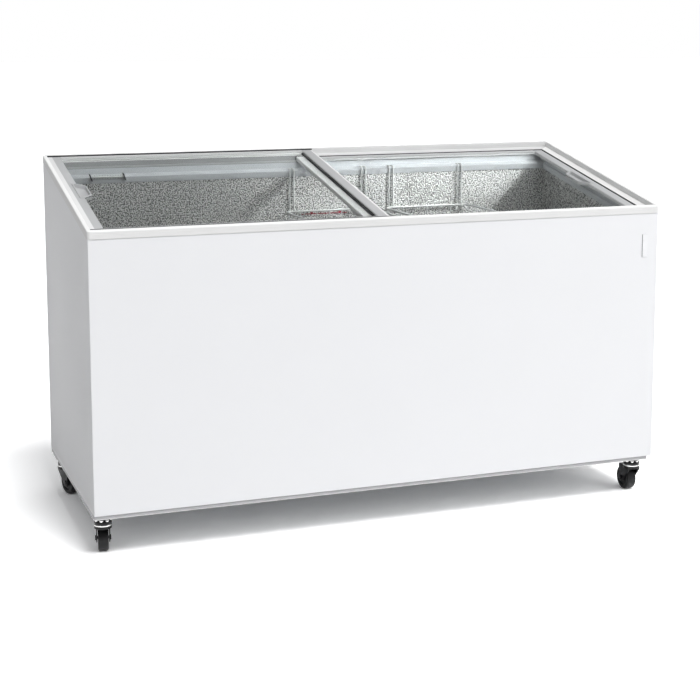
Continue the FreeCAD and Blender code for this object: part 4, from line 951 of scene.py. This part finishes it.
def build_kept():
    """CAD nodes that keep their shape, with or without rounded edges."""
    for node, material in KEPT.items():
        piece = frame["nodes"][node]
        piece.data.materials.clear()
        piece.data.materials.append(MATERIALS[material])
    for node, (material, width) in DRESSED.items():
        dressed(node, material, width)


# ------------------------------------------------------------------ stage, light and camera

FLOOR_HALF = 60.0
FLOOR_LIT = (0.36, 0.36, 0.36)
FLOOR_SEEN = (1.3, 1.3, 1.3)


def build_stage():
    """Pale floor that keeps the object's shadow and shows white around it."""
    half = FLOOR_HALF
    mesh = bmesh.new()
    corners = [(-half, -half, 0), (half, -half, 0), (half, half, 0), (-half, half, 0)]
    mesh.faces.new([mesh.verts.new(corner) for corner in corners])
    data = bpy.data.meshes.new("floor")
    mesh.to_mesh(data)
    mesh.free()
    floor = bpy.data.objects.new("floor", data)
    bpy.context.collection.objects.link(floor)
    nodes, links = new_material("studio_floor")
    shader = nodes["Principled BSDF"]
    shader.inputs["Roughness"].default_value = 0.9
    shader.inputs["Specular IOR Level"].default_value = 0.0
    seen = seen_directly(nodes, links)
    colour = tinted(nodes, links, seen, FLOOR_LIT, FLOOR_SEEN)
    links.new(colour, shader.inputs["Base Color"])
    data.materials.append(MATERIALS["studio_floor"])


def seen_directly(nodes, links):
    """One for camera, glossy and transmission rays, and nothing for the rest."""
    rays = nodes.new("ShaderNodeLightPath")
    first = nodes.new("ShaderNodeMath")
    first.operation = "MAXIMUM"
    links.new(rays.outputs["Is Camera Ray"], first.inputs[0])
    links.new(rays.outputs["Is Glossy Ray"], first.inputs[1])
    second = nodes.new("ShaderNodeMath")
    second.operation = "MAXIMUM"
    links.new(first.outputs["Value"], second.inputs[0])
    links.new(rays.outputs["Is Transmission Ray"], second.inputs[1])
    return second.outputs["Value"]


BRIGHT_SIDE = (0.45, -0.89, 0.0)


def build_world():
    """Soft light, weaker from the left, behind a white surround."""
    world = bpy.data.worlds.new("studio")
    bpy.context.scene.world = world
    world.use_nodes = True
    nodes = world.node_tree.nodes
    links = world.node_tree.links
    background = nodes["Background"]
    coordinates = nodes.new("ShaderNodeTexCoord")
    toward = nodes.new("ShaderNodeVectorMath")
    toward.operation = "DOT_PRODUCT"
    toward.inputs[1].default_value = BRIGHT_SIDE
    links.new(coordinates.outputs["Generated"], toward.inputs[0])
    split = nodes.new("ShaderNodeSeparateXYZ")
    links.new(coordinates.outputs["Generated"], split.inputs["Vector"])
    sideways = mapped(nodes, links, toward.outputs["Value"], 0.06, 1.35, -0.8, 1.0)
    upward = mapped(nodes, links, split.outputs["Z"], 0.12, 1.22, 0.0, 0.5)
    product = nodes.new("ShaderNodeMath")
    product.operation = "MULTIPLY"
    links.new(sideways, product.inputs[0])
    links.new(upward, product.inputs[1])
    background.inputs["Color"].default_value = (0.985, 0.99, 1.0, 1)
    links.new(product.outputs["Value"], background.inputs["Strength"])
    surround = nodes.new("ShaderNodeBackground")
    surround.inputs["Color"].default_value = (1, 1, 1, 1)
    shade = mapped(nodes, links, split.outputs["Z"], 0.50, 0.10, 0.15, 0.40)
    lit = nodes.new("ShaderNodeMath")
    lit.operation = "MAXIMUM"
    rays = nodes.new("ShaderNodeLightPath")
    links.new(rays.outputs["Is Camera Ray"], lit.inputs[0])
    links.new(shade, lit.inputs[1])
    links.new(lit.outputs["Value"], surround.inputs["Strength"])
    mix = nodes.new("ShaderNodeMixShader")
    links.new(seen_directly(nodes, links), mix.inputs["Fac"])
    links.new(background.outputs["Background"], mix.inputs[1])
    links.new(surround.outputs["Background"], mix.inputs[2])
    links.new(mix.outputs["Shader"], nodes["World Output"].inputs["Surface"])


def add_light(name, kind, place, target, energy, size=None, angle=None):
    """A lamp aimed at a point."""
    data = bpy.data.lights.new(name, kind)
    data.energy = energy
    if size:
        data.size = size
    if angle:
        data.angle = math.radians(angle)
    lamp = bpy.data.objects.new(name, data)
    bpy.context.collection.objects.link(lamp)
    lamp.location = place
    aim = Vector(target) - Vector(place)
    lamp.rotation_euler = aim.to_track_quat("-Z", "Y").to_euler()
    return lamp


def build_lights():
    """A broad key lamp high in front, a soft box at the right, and a sparkle for bare metal."""
    add_light("key", "SUN", (0.55, -2.4, 4.5), (0, 0, 0.4), 1.95, angle=20)
    add_light("right_box", "AREA", (2.4, -2.6, 1.9), (0.4, -0.3, 0.4), 14, size=1.4)
    sparkle = add_light("sparkle", "SPOT", (2.4, -1.4, 2.4), (0.28, 0.25, 0.76), 1100)
    sparkle.data.spot_size = math.radians(17)
    sparkle.data.spot_blend = 1.0
    sparkle.data.shadow_soft_size = 0.12
    sparkle.visible_diffuse = False


def build_camera():
    """Camera at the front left, a little above the object."""
    data = bpy.data.cameras.new("camera")
    data.lens = 76.7
    data.sensor_width = 36
    data.shift_y = -0.15
    downward = math.radians(90 - 8.11)
    sideways = math.radians(-20.2)
    camera = bpy.data.objects.new("camera", data)
    bpy.context.collection.objects.link(camera)
    camera.location = (-1.3971, -3.8081, 1.2750)
    camera.rotation_euler = (downward, 0, sideways)
    bpy.context.scene.camera = camera


build_camera()
build_skin()
build_base()
build_top_frame()
build_lids()
build_basket("left_basket")
build_basket("right_basket")
build_thermometer()
build_load_mark()
build_badge()
build_castors()
build_kept()
build_stage()
build_world()
build_lights()
bpy.context.scene.view_settings.view_transform = "Standard"
